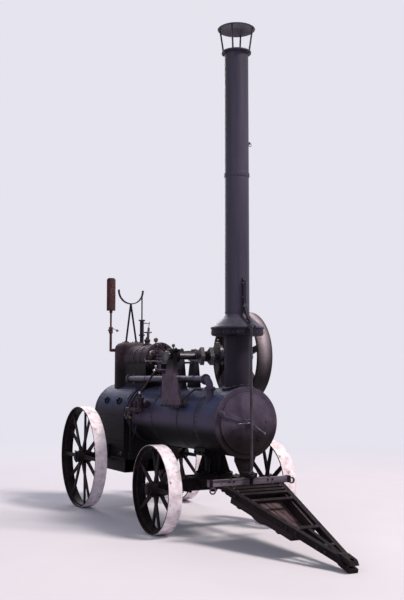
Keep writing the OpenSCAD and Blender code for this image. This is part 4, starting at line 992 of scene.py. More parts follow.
@dataclass
class Cylinder:
    """Bands, nuts, valves and cups on the cylinder casting, its chest and its dome."""

    radius: float = 0.165
    front_x: float = -1.310
    dome_x: float = -2.190
    dome_top: float = 2.000
    chest_x: float = -1.600
    chest_y: float = 0.2645
    whistle_y: float = -0.240
    balance_x: float = -2.072

    def bands_and_nuts(self) -> None:
        """Bend the flat bands that hold the cleading, and nut the front cover and both glands."""
        bands, nuts = Shape(), Shape()
        for x, start in ((-1.385, -22.0), (-1.560, 34.0), (-1.740, 34.0), (-1.890, -22.0)):
            bands.strap(at(x, 0, ENGINE_Z), self.radius, start, 202.0, 0.026, 0.0035)
        bands.piece("cylinder_bands", "chassis", CASTING_BROWN)
        cover, gland = at(self.front_x + 0.0375, 0, ENGINE_Z), at(self.front_x + 0.0775, 0, ENGINE_Z)
        nuts.nuts([cover + out for out in around(8, 22.5, reach=0.161)], AHEAD, 0.024)
        nuts.nuts([gland + out for out in around(3, 90, reach=0.054)], AHEAD, 0.015)
        nuts.nuts([at(-1.3705, 0.200 + side * 0.016, 1.825) for side in SIDES], AHEAD, 0.011)
        nuts.piece("cylinder_cover_nuts", "chassis", DULL_STEEL)

    def chest_cover(self) -> None:
        """Bolt the flat cover to the outer face of the valve chest."""
        plate, studs = Shape(), Shape()
        plate.slab(at(self.chest_x, self.chest_y, ENGINE_Z), (0.344, 0.009, 0.166), edge=0.004)
        plate.slab(at(self.chest_x, self.chest_y + 0.0055, ENGINE_Z), (0.270, 0.008, 0.100), edge=0.004)
        plate.piece("chest_cover_plate", "chassis", CASTING_BROWN)
        y, reach, step = self.chest_y + 0.004, 0.157, 0.0628
        places = [(-reach + k * step, z) for k in range(6) for z in (-0.069, 0.069)]
        places += [(-reach, 0), (reach, 0)]
        studs.nuts([at(self.chest_x + x, y, ENGINE_Z + z) for x, z in places], (0, 1, 0), 0.018)
        studs.piece("chest_cover_nuts", "chassis", DULL_STEEL)

    def dome_studs(self) -> None:
        """Ring the flat top of the dome with its nuts."""
        shape = Shape()
        shape.nuts([at(self.dome_x, 0, self.dome_top) + out for out in around(12, 15, Plane.XY, 0.111)],
                   UP, 0.019)
        shape.piece("dome_nuts", "chassis", CASTING_BROWN)

    def stop_valve(self) -> None:
        """Stand the stop valve with its handwheel on the cylinder."""
        body, wheel = Shape(), Shape()
        foot = at(-1.700, 0, ENGINE_Z + self.radius - 0.004)
        body.lathe(foot, UP, [(0.056, 0), (0.056, 0.014), (0.034, 0.018), (0.030, 0.040), (0.038, 0.050),
                              (0.038, 0.072), (0.022, 0.080), (0.020, 0.098), (0.012, 0.102)], 20)
        body.nuts([foot + Vector((0, 0, 0.0135)) + out for out in around(4, 45, Plane.XY, 0.046)], UP, 0.014)
        body.piece("stop_valve_body", "chassis", CASTING_BROWN)
        hub = foot + Vector((0, 0, 0.160))
        wheel.tube([foot + Vector((0, 0, 0.095)), hub + Vector((0, 0, 0.012))], 0.0075, 10)
        wheel.ring(hub, UP, 0.052, 0.0065, 32)
        for out in around(4, 20, Plane.XY, 0.050):
            wheel.tube([hub, hub + out], 0.0045, 8)
        wheel.piece("stop_valve_wheel", "chassis", DULL_STEEL)

    def cups_and_levers(self) -> None:
        """Add the tallow cup, the drain cock, and the whistle's lever with its knob and nut."""
        brass, lever = Shape(), Shape()
        brass.oil_cup(at(-1.450, 0, ENGINE_Z + self.radius - 0.002), 0.085, 0.026)
        brass.lathe(at(-1.360, 0, ENGINE_Z - self.radius + 0.002), DOWN,
                    [(0.009, 0), (0.009, 0.016), (0.014, 0.020), (0.014, 0.040), (0.006, 0.044),
                     (0.006, 0.062)], 12)
        brass.tube([at(-1.360, 0, 1.594), at(-1.360, -0.040, 1.594)], 0.005, 8)
        brass.lathe(at(-2.092, self.whistle_y, 2.146), (1, 0, 0.05),
                    [(0.006, -0.012), (0.014, -0.004), (0.017, 0.008), (0.014, 0.020), (0.005, 0.026)], 14)
        brass.piece("engine_brass_cups", "chassis", OLD_BRASS)
        lever.tube([at(x, self.whistle_y, z) for x, z in ((-2.292, 2.176), (-2.250, 2.182),
                                                          (-2.090, 2.148))], 0.0055, 8)
        lever.nut(at(-2.300, self.whistle_y - 0.026, 2.160), (0, -1, 0), 0.022)
        lever.piece("whistle_lever", "chassis", DULL_STEEL)

    def safety_lever(self) -> None:
        """Reach the safety valve's lever forward and hold it down with its spring balance."""
        shape = Shape()
        x, y = self.balance_x, 0.186
        tip = at(x, 0.196, 2.246)
        shape.tube([at(-2.360, 0.205, 2.268), at(-2.330, 0.205, 2.266), tip], 0.007, 8)
        shape.tube([tip + Vector((0, 0, 0.02)), at(x, y, 2.190)], 0.005, 8)
        shape.lathe(at(x, y, 2.195), (0, -0.05, -1),
                    [(0.006, 0), (0.015, 0.006), (0.015, 0.160), (0.006, 0.166)])
        shape.tube([at(x, 0.178, 2.034), at(x, 0.172, 1.895)], 0.005, 8)
        shape.slab(at(x, 0.172, 1.890), (0.020, 0.024, 0.026))
        shape.piece("safety_valve_lever", "chassis", DULL_STEEL)

    def build(self) -> None:
        """Build every fitting of the cylinder."""
        for make in (self.bands_and_nuts, self.chest_cover, self.dome_studs, self.stop_valve,
                     self.cups_and_levers, self.safety_lever):
            make()


@dataclass
class Motion:
    """Bolts, keys, caps and cups of the crank gear and its brackets."""

    crank_x: float = -0.270
    pin_x: float = -0.390
    cross_x: float = -1.020
    guide_y: float = 0.075
    eccentric_y: float = 0.200
    plate_y: float = 0.379
    wheel_y: float = 0.500
    wheel_end_y: float = 0.6295
    governor: tuple[float, float] = (-0.840, -0.235)

    def rod_fittings(self) -> None:
        """Fit the big end's bolts, both ends' cotters and the big end's cup."""
        shape, cup = Shape(), Shape()
        for z in SIDES:
            shape.nuts([at(self.pin_x, y, ENGINE_Z + z * 0.0615) for y in (-0.016, 0.016)], (0, 0, z), 0.017)
        shape.slab(at(self.cross_x + 0.055, 0, ENGINE_Z), (0.016, 0.040, 0.064))
        shape.slab(at(self.pin_x - 0.075, 0, ENGINE_Z), (0.014, 0.038, 0.084))
        shape.piece("connecting_rod_bolts", "connecting_rod", BRIGHT_STEEL)
        cup.oil_cup(at(self.pin_x - 0.034, 0, ENGINE_Z + 0.038), 0.050, 0.013)
        cup.piece("big_end_oil_cup", "connecting_rod", OLD_BRASS)

    def guide_fittings(self) -> None:
        """Bolt the slide bars at both ends, cup them between, and drive the crosshead's cotter."""
        shape, cups = Shape(), Shape()
        for side in SIDES:
            for x in (-1.262, -0.612):
                for z in (1, -1):
                    shape.nut(at(x, side * self.guide_y, ENGINE_Z + z * 0.0715), (0, 0, z), 0.019)
            for x in (-1.110, -0.900):
                cups.oil_cup(at(x, side * self.guide_y, ENGINE_Z + 0.071), 0.038, 0.012)
        shape.slab(at(-1.115, 0, ENGINE_Z), (0.016, 0.098, 0.024))
        shape.piece("slide_bar_bolts", "chassis", BRIGHT_STEEL)
        cups.piece("slide_bar_oil_cups", "chassis", OLD_BRASS)

    def eccentric_fittings(self) -> None:
        """Clamp the halves of the eccentric strap."""
        shape, cup = Shape(), Shape()
        middle = at(self.crank_x, self.eccentric_y, ENGINE_Z + 0.035)
        for up in SIDES:
            shape.slab(middle + Vector((0, 0, up * 0.108)), (0.052, 0.030, 0.026))
            for x in SIDES:
                shape.nut(middle + Vector((x * 0.0255, 0, up * 0.110)), (x, 0, 0), 0.016)
        shape.piece("eccentric_strap_bolts", "eccentric_rod", BRIGHT_STEEL)
        cup.oil_cup(middle + Vector((0, 0, 0.119)), 0.036, 0.012)
        cup.piece("eccentric_oil_cup", "eccentric_rod", OLD_BRASS)

    def bearing_fittings(self) -> None:
        """Cap the crankshaft's bearings and bolt the side plates to the barrel."""
        dark, bright, brass, foot = Shape(), Shape(), Shape(), Shape()
        foot_z = 1.2655
        rivets = [(-0.430 + k * 0.090, 1.318) for k in range(5)] + [(-0.445, z) for z in (1.40, 1.48, 1.56)]
        rivets += [(-0.100, 1.40), (-0.135, 1.475), (-0.170, 1.55)]
        for side in SIDES:
            dark.slab(at(self.crank_x, side * 0.340, ENGINE_Z + 0.061), (0.178, 0.070, 0.026), edge=0.006)
            bright.nuts([at(self.crank_x + x, side * 0.345, ENGINE_Z + 0.0735) for x in (-0.072, 0.072)],
                        UP, 0.024)
            brass.oil_cup(at(self.crank_x, side * 0.340, ENGINE_Z + 0.073), 0.058, 0.018)
            dark.rivets([at(x, side * self.plate_y, z) for x, z in rivets], (0, side, 0), 0.0105)
            foot.slab(at(-0.250, side * 0.3925, foot_z), (0.452, 0.005, 0.026))
            foot.slab(at(-0.028, side * 0.360, foot_z), (0.010, 0.066, 0.026))
            foot.nuts([at(-0.440 + k * 0.095, side * 0.394, foot_z + 0.0005) for k in range(5)],
                      (0, side, 0), 0.018)
        dark.piece("crank_bracket_caps", "chassis", SIDE_PLATE)
        foot.piece("crank_bracket_feet", "chassis", NEAR_BLACK_AND_SHADE)
        bright.piece("bearing_cap_nuts", "chassis", BRIGHT_STEEL)
        brass.piece("bearing_oil_cups", "chassis", OLD_BRASS)

    def flywheel_fittings(self) -> None:
        """Key and band the flywheel's boss, cap the shaft's end, and collar its other end."""
        shape, collar = Shape(), Shape()
        shape.slab(at(self.crank_x, self.wheel_y + 0.090, ENGINE_Z + 0.036), (0.018, 0.050, 0.014))
        for side in SIDES:
            shape.ring(at(self.crank_x, self.wheel_y + side * 0.062, ENGINE_Z), (0, 1, 0), 0.0945, 0.005, 40)
        shape.lathe(at(self.crank_x, self.wheel_end_y, ENGINE_Z), (0, 1, 0),
                    [(0.026, 0), (0.024, 0.004), (0.005, 0.004), (0.003, 0.001)], 18)
        shape.piece("flywheel_key_and_bands", "crankshaft", CASTING_BROWN)
        collar.lathe(at(self.crank_x, -0.396, ENGINE_Z), (0, -1, 0),
                     [(0.052, 0), (0.052, 0.024), (0.048, 0.028), (0.035, 0.028)], 28)
        collar.nut(at(self.crank_x, -0.408, ENGINE_Z + 0.051), UP, 0.014)
        collar.piece("crankshaft_collar", "crankshaft", BRIGHT_STEEL)

    def governor_gear(self) -> None:
        """Link the governor's sleeve, nut its stand and head, and band the head's two balls."""
        link, nuts, head = Shape(), Shape(), Shape()
        x, y = self.governor
        elbow = at(-1.290, -0.205, 1.752)
        link.tube([at(x, y + 0.034, 1.742), at(x - 0.120, y + 0.060, 1.748), elbow], 0.0065, 8)
        link.lathe(at(x, y, 1.728), UP, [(0.0175, 0), (0.030, 0.004), (0.030, 0.020), (0.0175, 0.024)], 18)
        link.tube([elbow, at(-1.345, -0.190, 1.790)], 0.0065, 8)
        link.piece("governor_link", "chassis", DULL_STEEL)
        nuts.nuts([at(x, -0.190, 1.4525) + out for out in around(4, 45, Plane.XY, 0.031)], UP, 0.015)
        nuts.piece("governor_stand_nuts", "chassis", BOILER_BLACK)
        head.lathe(at(x, y, 1.930), UP, [(0.016, -0.001), (0.018, 0.006), (0.015, 0.016), (0.006, 0.021)])
        for side in SIDES:
            head.tube([at(x + end * 0.020, y + side * 0.090, 1.832) for end in SIDES], 0.030, 10)
        head.piece("governor_top_nut", "governor", BRIGHT_STEEL)

    def barrel_straps_and_dark_strips(self) -> None:
        """Bend dark straps round the barrel, one as a painted shadow, and stay the right side plate."""
        shape = Shape()
        # The strip at 0.207 stands for the shadow along the lap band's edge, as painted shadow. The last,
        # 150 mm wide, is a dark band round the barrel under the feed pipes that makes that stretch black.
        # place along X, radius under the strap, first and last angle, width, thickness, steps
        for x, radius, start, end, width, thick, steps in (
                (-0.205, BARREL_R, 158.0, 382.0, 0.014, 0.005, 72),
                (0.207, BAND_R - 0.0015, -38.0, 218.0, 0.036, 0.003, 90),
                (-1.478, BARREL_R, 100.0, 260.0, 0.150, 0.003, 60)):
            shape.strap(at(x, 0, BOILER_Z), radius, start, end, width, thick, steps)
        shape.tube([at(-0.010, -0.364, 1.300), at(-0.002, -0.366, 1.332), at(0.200, -0.330, 1.440),
                    at(0.228, -0.262, 1.440)], 0.0085, 10)
        shape.piece("barrel_straps_and_dark_strips", "chassis", NEAR_BLACK_AND_SHADE)

    def build(self) -> None:
        """Build every fitting of the motion."""
        for make in (self.rod_fittings, self.guide_fittings, self.eccentric_fittings,
                     self.bearing_fittings, self.flywheel_fittings, self.governor_gear,
                     self.barrel_straps_and_dark_strips):
            make()


@dataclass
class Pipework:
    """Flange nuts, unions and glands of the pipes and the feed pump."""

    exhaust_y: float = -0.250
    exhaust_z: float = 1.545
    bolt_circle: float = 0.0458
    pump: tuple[float, float] = (-1.010, -0.392)
    valve_run: float = 0.270

    def exhaust_flanges(self) -> None:
        """Bolt the exhaust pipe's flanges and band the pipe."""
        shape = Shape()
        for x in (-1.640, 0.290):
            for out in around(4, 45, reach=self.bolt_circle):
                for side in SIDES:
                    shape.nut(at(x + side * 0.0088, self.exhaust_y, self.exhaust_z) + out,
                              (side, 0, 0), 0.014)
        for out in around(4, 45, Plane.XY, self.bolt_circle):
            for side in SIDES:
                shape.nut(at(0.380, self.exhaust_y, 1.455 + side * 0.0088) + out, (0, 0, side), 0.014)
        for x in (-1.150, -0.560, 0.060):
            shape.strap(at(x, self.exhaust_y, self.exhaust_z), 0.037, -90.0, 270.0, 0.024, 0.003, 32)
        shape.piece("exhaust_flange_nuts", "chassis", BOILER_BLACK)

    def pump_fittings(self) -> None:
        """Add the gland's nuts, the caps of the valve boxes and the pump's flange."""
        shape = Shape()
        x, y = self.pump
        shape.nuts([at(x, y + side * 0.034, 1.3345) for side in SIDES], UP, 0.016)
        for box_x in (x - 0.130, x - self.valve_run):
            shape.nut(at(box_x, y, 1.2545), UP, 0.046, False, 0.3)
            shape.nut(at(box_x, y, 1.2845), UP, 0.020, False)
            shape.lathe(at(box_x, y, 1.156), DOWN,
                        [(0.030, -0.004), (0.034, 0.0), (0.034, 0.008), (0.026, 0.012)], 18)
        shape.nut(at(x + 0.0235, y, 1.195), AHEAD, 0.034, False)
        shape.nut(at(x - 0.3795, y, 1.195), BEHIND, 0.036, False)
        shape.nuts([at(x, -0.3080, 1.245) + out for out in around(4, 45, Plane.XZ, 0.047)], ray(159), 0.013)
        shape.lathe(at(x, -0.314, 1.245), (0, 1, 0), [(0.060, 0), (0.060, 0.012), (0.050, 0.020)], 24)
        shape.piece("pump_caps_and_flange", "chassis", PUMP_IRON)

    def pump_pins(self) -> None:
        """Fit the pump rod's pins and cup, and the pump's union and pet cock."""
        bright, brass = Shape(), Shape()
        x, y = self.pump
        bright.lathe(at(x, y, 1.377), UP, [(0.0125, 0), (0.019, 0.003), (0.019, 0.022), (0.0125, 0.026)])
        bright.nut(at(x, y - 0.0115, 1.385), (0, -1, 0), 0.022)
        bright.nut(at(-0.600, y - 0.0155, 1.640), (0, -1, 0), 0.026)
        bright.oil_cup(at(-0.600, y, 1.661), 0.036, 0.012)
        bright.piece("pump_rod_pins", "chassis", RUBBED_STEEL)
        brass.lathe(at(x - self.valve_run, y, 1.092), UP,
                    [(0.021, 0), (0.026, 0.004), (0.026, 0.018), (0.021, 0.022)], 6)
        brass.tube([at(x - 0.060, y - out, 1.195) for out in (0.022, 0.052)], 0.008, 10)
        brass.tube([at(x - 0.060, y - 0.046, z) for z in (1.178, 1.222)], 0.0045, 8)
        brass.piece("pump_pet_cock", "chassis", OLD_BRASS)

    def pipe_fittings(self) -> None:
        """Clip the suction pipe, band its strainer, and put hexagon unions on the feed pipes."""
        clip, unions = Shape(), Shape()
        x, y = self.pump[0] - self.valve_run, self.pump[1]
        for z in (0.632, 0.655, 0.678):
            clip.ring(at(x, y, z), UP, 0.022, 0.0025, 20)
        clip.lathe(at(x, y, 0.800), UP, [(0.0135, 0), (0.017, 0.003), (0.017, 0.020), (0.0135, 0.023)], 14)
        clip.tube([at(x, y + 0.012, 0.811), at(x, -0.322, 1.010)], 0.006, 8)
        clip.piece("suction_pipe_clip", "chassis", BOILER_BLACK)
        for x in (-1.530, -1.440):
            unions.lathe(at(x, -0.3533, 1.108), UP,
                         [(0.017, 0), (0.020, 0.002), (0.020, 0.012), (0.0165, 0.014)], 6)
        unions.piece("feed_pipe_unions", "chassis", OLD_COPPER)

    def build(self) -> None:
        """Build every fitting of the pipes."""
        for make in (self.exhaust_flanges, self.pump_fittings, self.pump_pins, self.pipe_fittings):
            make()


@dataclass
class WheelTrim:
    """Rivets, hub bands, caps and linch pins of the four wheels."""

    tyre_t: float = 0.016
    spoke_offset: float = 0.022
    spoke_half: float = 0.009
    hub_end: float = 0.1085
    axle_end: float = 0.7597

    def wheel(self, node: str, body: str, side: int, spokes: int, finish: Finish) -> None:
        """Trim one wheel.

        Args:
            node: The wheel's CAD node.
            body: The body it turns with.
            side: Minus one on the right, one on the left.
            spokes: How many spokes it has.
            finish: The wheel's own black iron.
        """
        centre, radius = round_of(node)
        iron, cap = Shape(), Shape()
        for k, out in enumerate(around(spokes, 0, Plane.XZ)):
            across = Vector((-out.z, 0, out.x))
            offset = self.spoke_offset if k % 2 else -self.spoke_offset
            for face in SIDES:
                foot = centre + Vector((0, offset + face * self.spoke_half, 0))
                for reach, wide in ((radius - self.tyre_t - 0.035, 0), (0.105, -0.012), (0.105, 0.012)):
                    iron.rivet(foot + out * reach + across * wide, (0, face, 0), 0.008)
        for place in (-0.088, 0.088):
            iron.ring(centre + Vector((0, place, 0)), (0, 1, 0), 0.0665, 0.0045, 36)
        iron.piece(node + "_rivets", body, finish)
        cap.lathe(centre + Vector((0, side * self.hub_end, 0)), (0, side, 0),
                  [(0.030, -0.002), (0.030, 0.0), (0.024, 0.003), (0.006, 0.004)], 20)
        cap.lathe(centre + Vector((0, side * 0.045, 0.0775)), UP,
                  [(0.010, -0.002), (0.010, 0.006), (0.006, 0.010)], 10)
        cap.piece(node + "_oil_plug", body, finish)

    def build(self) -> None:
        """Trim all four wheels, and drive linch pins through the axles' ends."""
        for end, spokes in (("front", 10), ("rear", 12)):
            for hand, side in (("right", -1), ("left", 1)):
                node = f"wheel_{end}_{hand}"
                self.wheel(node, f"{end}_{hand}_wheel", side, spokes, wheel_finish(node))
        for tag, x, z, body in (("rear", -2.120, 0.603, "chassis"), ("front", 0.0, 0.443, "fore_carriage")):
            shape = Shape()
            for y in (-self.axle_end, self.axle_end):
                shape.tube([at(x, y, z + 0.062), at(x, y, z - 0.056)], 0.0055, 8)
                shape.ring(at(x, y, z + 0.066), AHEAD, 0.009, 0.0035, 14)
            shape.piece(tag + "_linch_pins", body, DULL_STEEL)


@dataclass
class Carriage:
    """Bolts, clamps and pins of the perch, the fore-carriage and the rear brackets."""

    plate_r: float = 0.172
    plate_top: float = 0.586
    hound_y: float = 0.215
    crossbar_x: float = 0.735
    bracket_y: float = 0.3923
    rod_y: float = -0.028

    def turntable(self) -> None:
        """Bolt the turntable's plates and nut the king pin."""
        upper, lower = Shape(), Shape()
        upper.nuts([at(0, 0, self.plate_top - 0.0005) + out
                    for out in around(8, 22.5, Plane.XY, self.plate_r)], UP, 0.022)
        upper.nut(at(0, 0, 0.4105), DOWN, 0.060, False)
        upper.tube([at(0, -0.045, 0.4005), at(0, 0.045, 0.4005)], 0.005, 8)
        upper.piece("turntable_bolts", "chassis", CARRIAGE_BLACK)
        lower.nuts([at(0, 0, 0.5365) + out for out in around(4, 45, Plane.XY, self.plate_r)], DOWN, 0.022)
        lower.piece("lower_plate_bolts", "fore_carriage", CARRIAGE_BLACK)

    def perch_bolts(self) -> None:
        """Bolt the perch's saddle to the barrel."""
        shape = Shape()
        for side in SIDES:
            shape.nuts([at(x, side * 0.170, 0.790) for x in (-0.095, 0.0, 0.095)], (0, side, 0), 0.022)
        for x in SIDES:
            shape.rivets([at(x * 0.120, y, 0.778) for y in (-0.13, -0.05, 0.05, 0.13)], (x, 0, 0), 0.009)
        shape.piece("perch_bolts", "chassis", BOILER_BLACK)

    def axle_clamps(self) -> None:
        """Clamp the front axle under its bolster."""
        shape = Shape()
        for y in (-0.300, -0.395, 0.300, 0.395):
            for x in (-0.050, 0.050):
                shape.tube([at(x, y, 0.402), at(x, y, 0.540)], 0.008, 8)
                shape.nut(at(x, y, 0.537), UP, 0.020)
                shape.nut(at(x, y, 0.404), DOWN, 0.020)
            shape.slab(at(0, y, 0.4045), (0.124, 0.032, 0.010))
        shape.piece("axle_clamps", "fore_carriage", CARRIAGE_BLACK)

    def hound_bolts(self) -> None:
        """Bolt the hounds to the bolster and the crossbar to the hounds."""
        shape = Shape()
        top, bottom = 0.5335, 0.4825
        for side in SIDES:
            y = side * self.hound_y
            for x in (-0.275, 0.180, 0.420):
                shape.nut(at(x, y, top), UP, 0.024)
                shape.nut(at(x, y, bottom), DOWN, 0.024)
            shape.nut(at(self.crossbar_x, y, 0.5950), UP, 0.026)
            shape.nut(at(self.crossbar_x, y, bottom), DOWN, 0.024)
            shape.nuts([at(0.757, side * y, 0.575) for y in (0.190, 0.240)], AHEAD, 0.018)
        shape.piece("hound_bolts", "fore_carriage", CARRIAGE_BLACK)

    def crossbar_irons(self) -> None:
        """Bind the crossbar's ends and middle with iron straps."""
        shape = Shape()
        for y in (-0.440, 0.0, 0.430):
            for x in SIDES:
                shape.slab(at(self.crossbar_x + x * 0.0245, y, 0.5650), (0.005, 0.034, 0.066))
            shape.slab(at(self.crossbar_x, y, 0.5970), (0.054, 0.034, 0.005))
        shape.piece("crossbar_straps", "fore_carriage", CARRIAGE_BLACK)

    def brackets(self) -> None:
        """Bolt the rear axle's brackets and the tie rod's, and fit the rod's foot nut and eye."""
        rear, front, eye = Shape(), Shape(), Shape()
        for side in SIDES:
            rear.nuts([at(x, side * self.bracket_y, z)
                       for x, z in ((-2.245, 0.728), (-2.165, 0.728), (-2.075, 0.728), (-1.995, 0.728),
                                    (-2.245, 0.625), (-1.995, 0.625))], (0, side, 0), 0.026)
            front.nuts([at(x, side * 0.045, 0.760) for x in (0.535, 0.610)], (0, side, 0), 0.022)
        rear.piece("rear_bracket_nuts", "chassis", CARRIAGE_BLACK)
        front.nut(at(0.8365, self.rod_y, 0.646), AHEAD, 0.020)
        front.piece("tie_rod_bracket_nuts", "chassis", CARRIAGE_BLACK)
        eye.ring(at(0.815, self.rod_y, 2.060), AHEAD, 0.0235, 0.006, 24)
        eye.nut(at(0.8275, self.rod_y, 2.060), AHEAD, 0.020)
        eye.piece("tie_rod_eye", "tie_rod", BRIGHT_STEEL)

    def build(self) -> None:
        """Build every fitting of the carriage."""
        for make in (self.turntable, self.perch_bolts, self.axle_clamps, self.hound_bolts,
                     self.crossbar_irons, self.brackets):
            make()


@dataclass
class Drawbar:
    """Straps, bolts, nails and boards of the drawbar and its toolbox."""

    hitch: tuple[float, float] = (0.800, 0.515)
    slope: float = 16.7055
    length: float = 1.625
    root_y: float = 0.310
    tip_y: float = 0.005
    root_w: float = 0.052
    taper: float = 0.008
    box_floor: float = -0.115

    def place(self, run: float, y: float, up: float) -> Vector:
        """Find a point of the sloping drawbar.

        Args:
            run: How far along the drawbar.
            y: Its place to the side.
            up: Height over the drawbar's middle, square to it.

        Returns:
            The point.
        """
        a = math.radians(self.slope)
        return at(self.hitch[0] + run * math.cos(a) + up * math.sin(a), y,
                  self.hitch[1] - run * math.sin(a) + up * math.cos(a))

    def beam(self, run: float) -> tuple[float, float]:
        """Return the middle and half the width of a beam at a run along it."""
        share = run / self.length
        return self.root_y + (self.tip_y - self.root_y) * share, (self.root_w - self.taper * share) / 2

    def tilt(self) -> Matrix:
        """Return the turn of a plate that lies along the sloping drawbar."""
        return Matrix.Rotation(math.radians(self.slope), 3, "Y")

    def beam_irons(self) -> None:
        """Bolt iron straps along the outer faces of both beams, and pin their eyes."""
        shape = Shape()
        lean = math.atan2(self.tip_y - self.root_y, self.length)
        for side in SIDES:
            turn = self.tilt() @ Matrix.Rotation(lean * side, 3, "Z")
            for run, long in ((0.110, 0.20), (0.930, 0.16), (1.290, 0.13)):
                face = sum(self.beam(run))
                shape.slab(self.place(run, side * (face + 0.002), 0), (long, 0.006, 0.040), turn)
                for end in (run - 0.35 * long, run + 0.35 * long):
                    face = sum(self.beam(end))
                    shape.nut(self.place(end, side * (face + 0.0045), 0), (0, side, 0), 0.024)
            face = sum(self.beam(0))
            shape.lathe(self.place(0, side * (face + 0.001), 0), (0, side, 0),
                        [(0.027, 0), (0.027, 0.005)], 18)
            shape.tube([self.place(0, side * (face + 0.011), up) for up in (-0.020, 0.020)], 0.0035, 6)
        shape.piece("drawbar_straps", "drawbar", CARRIAGE_BLACK)

    def nails_and_rivets(self) -> None:
        """Nail the slats to the beams, and rivet the forged head on."""
        nails, rivets = Shape(), Shape()
        square = (self.place(0, 0, 1) - self.place(0, 0, 0)).normalized()
        for run in (0.060, 0.125, 0.195, 0.345, 0.935, 1.270):
            y, half = self.beam(run)
            for side in SIDES:
                nails.rivets([self.place(run + step, side * (y - half - 0.012), 0.030)
                              for step in (-0.008, 0.008)], square, 0.005)
        nails.piece("slat_nails", "drawbar", DULL_STEEL)
        for side in SIDES:
            rivets.rivets([self.place(self.length - back, side * 0.044, up) for back in (0.175, 0.125)
                           for up in (0.022, -0.022)], (0, side, 0), 0.011)
        rivets.piece("drawbar_head_rivets", "drawbar", CARRIAGE_BLACK)

    def box_boards(self) -> None:
        """Batten the toolbox's floor outside, and lay loose boards on it inside."""
        shape = Shape()
        for run in (0.160, 0.430, 0.700):
            y, half = self.beam(run)
            shape.slab(self.place(run, 0, self.box_floor - 0.007), (0.050, 2 * (y - half) - 0.016, 0.016),
                       self.tilt())
        start = 0.100
        for k, end in enumerate((0.600, 0.845, 0.845, 0.845, 0.600)):
            shape.slab(self.place((start + end) / 2, (k - 2) * 0.063,
                                  self.box_floor + 0.023 + 0.001 * (k % 2)),
                       (end - start, 0.056, 0.007), self.tilt(), 0.002)
        shape.piece("toolbox_boards", "drawbar", OLD_BOARD)

    def build(self) -> None:
        """Build every fitting of the drawbar."""
        self.beam_irons()
        self.nails_and_rivets()
        self.box_boards()


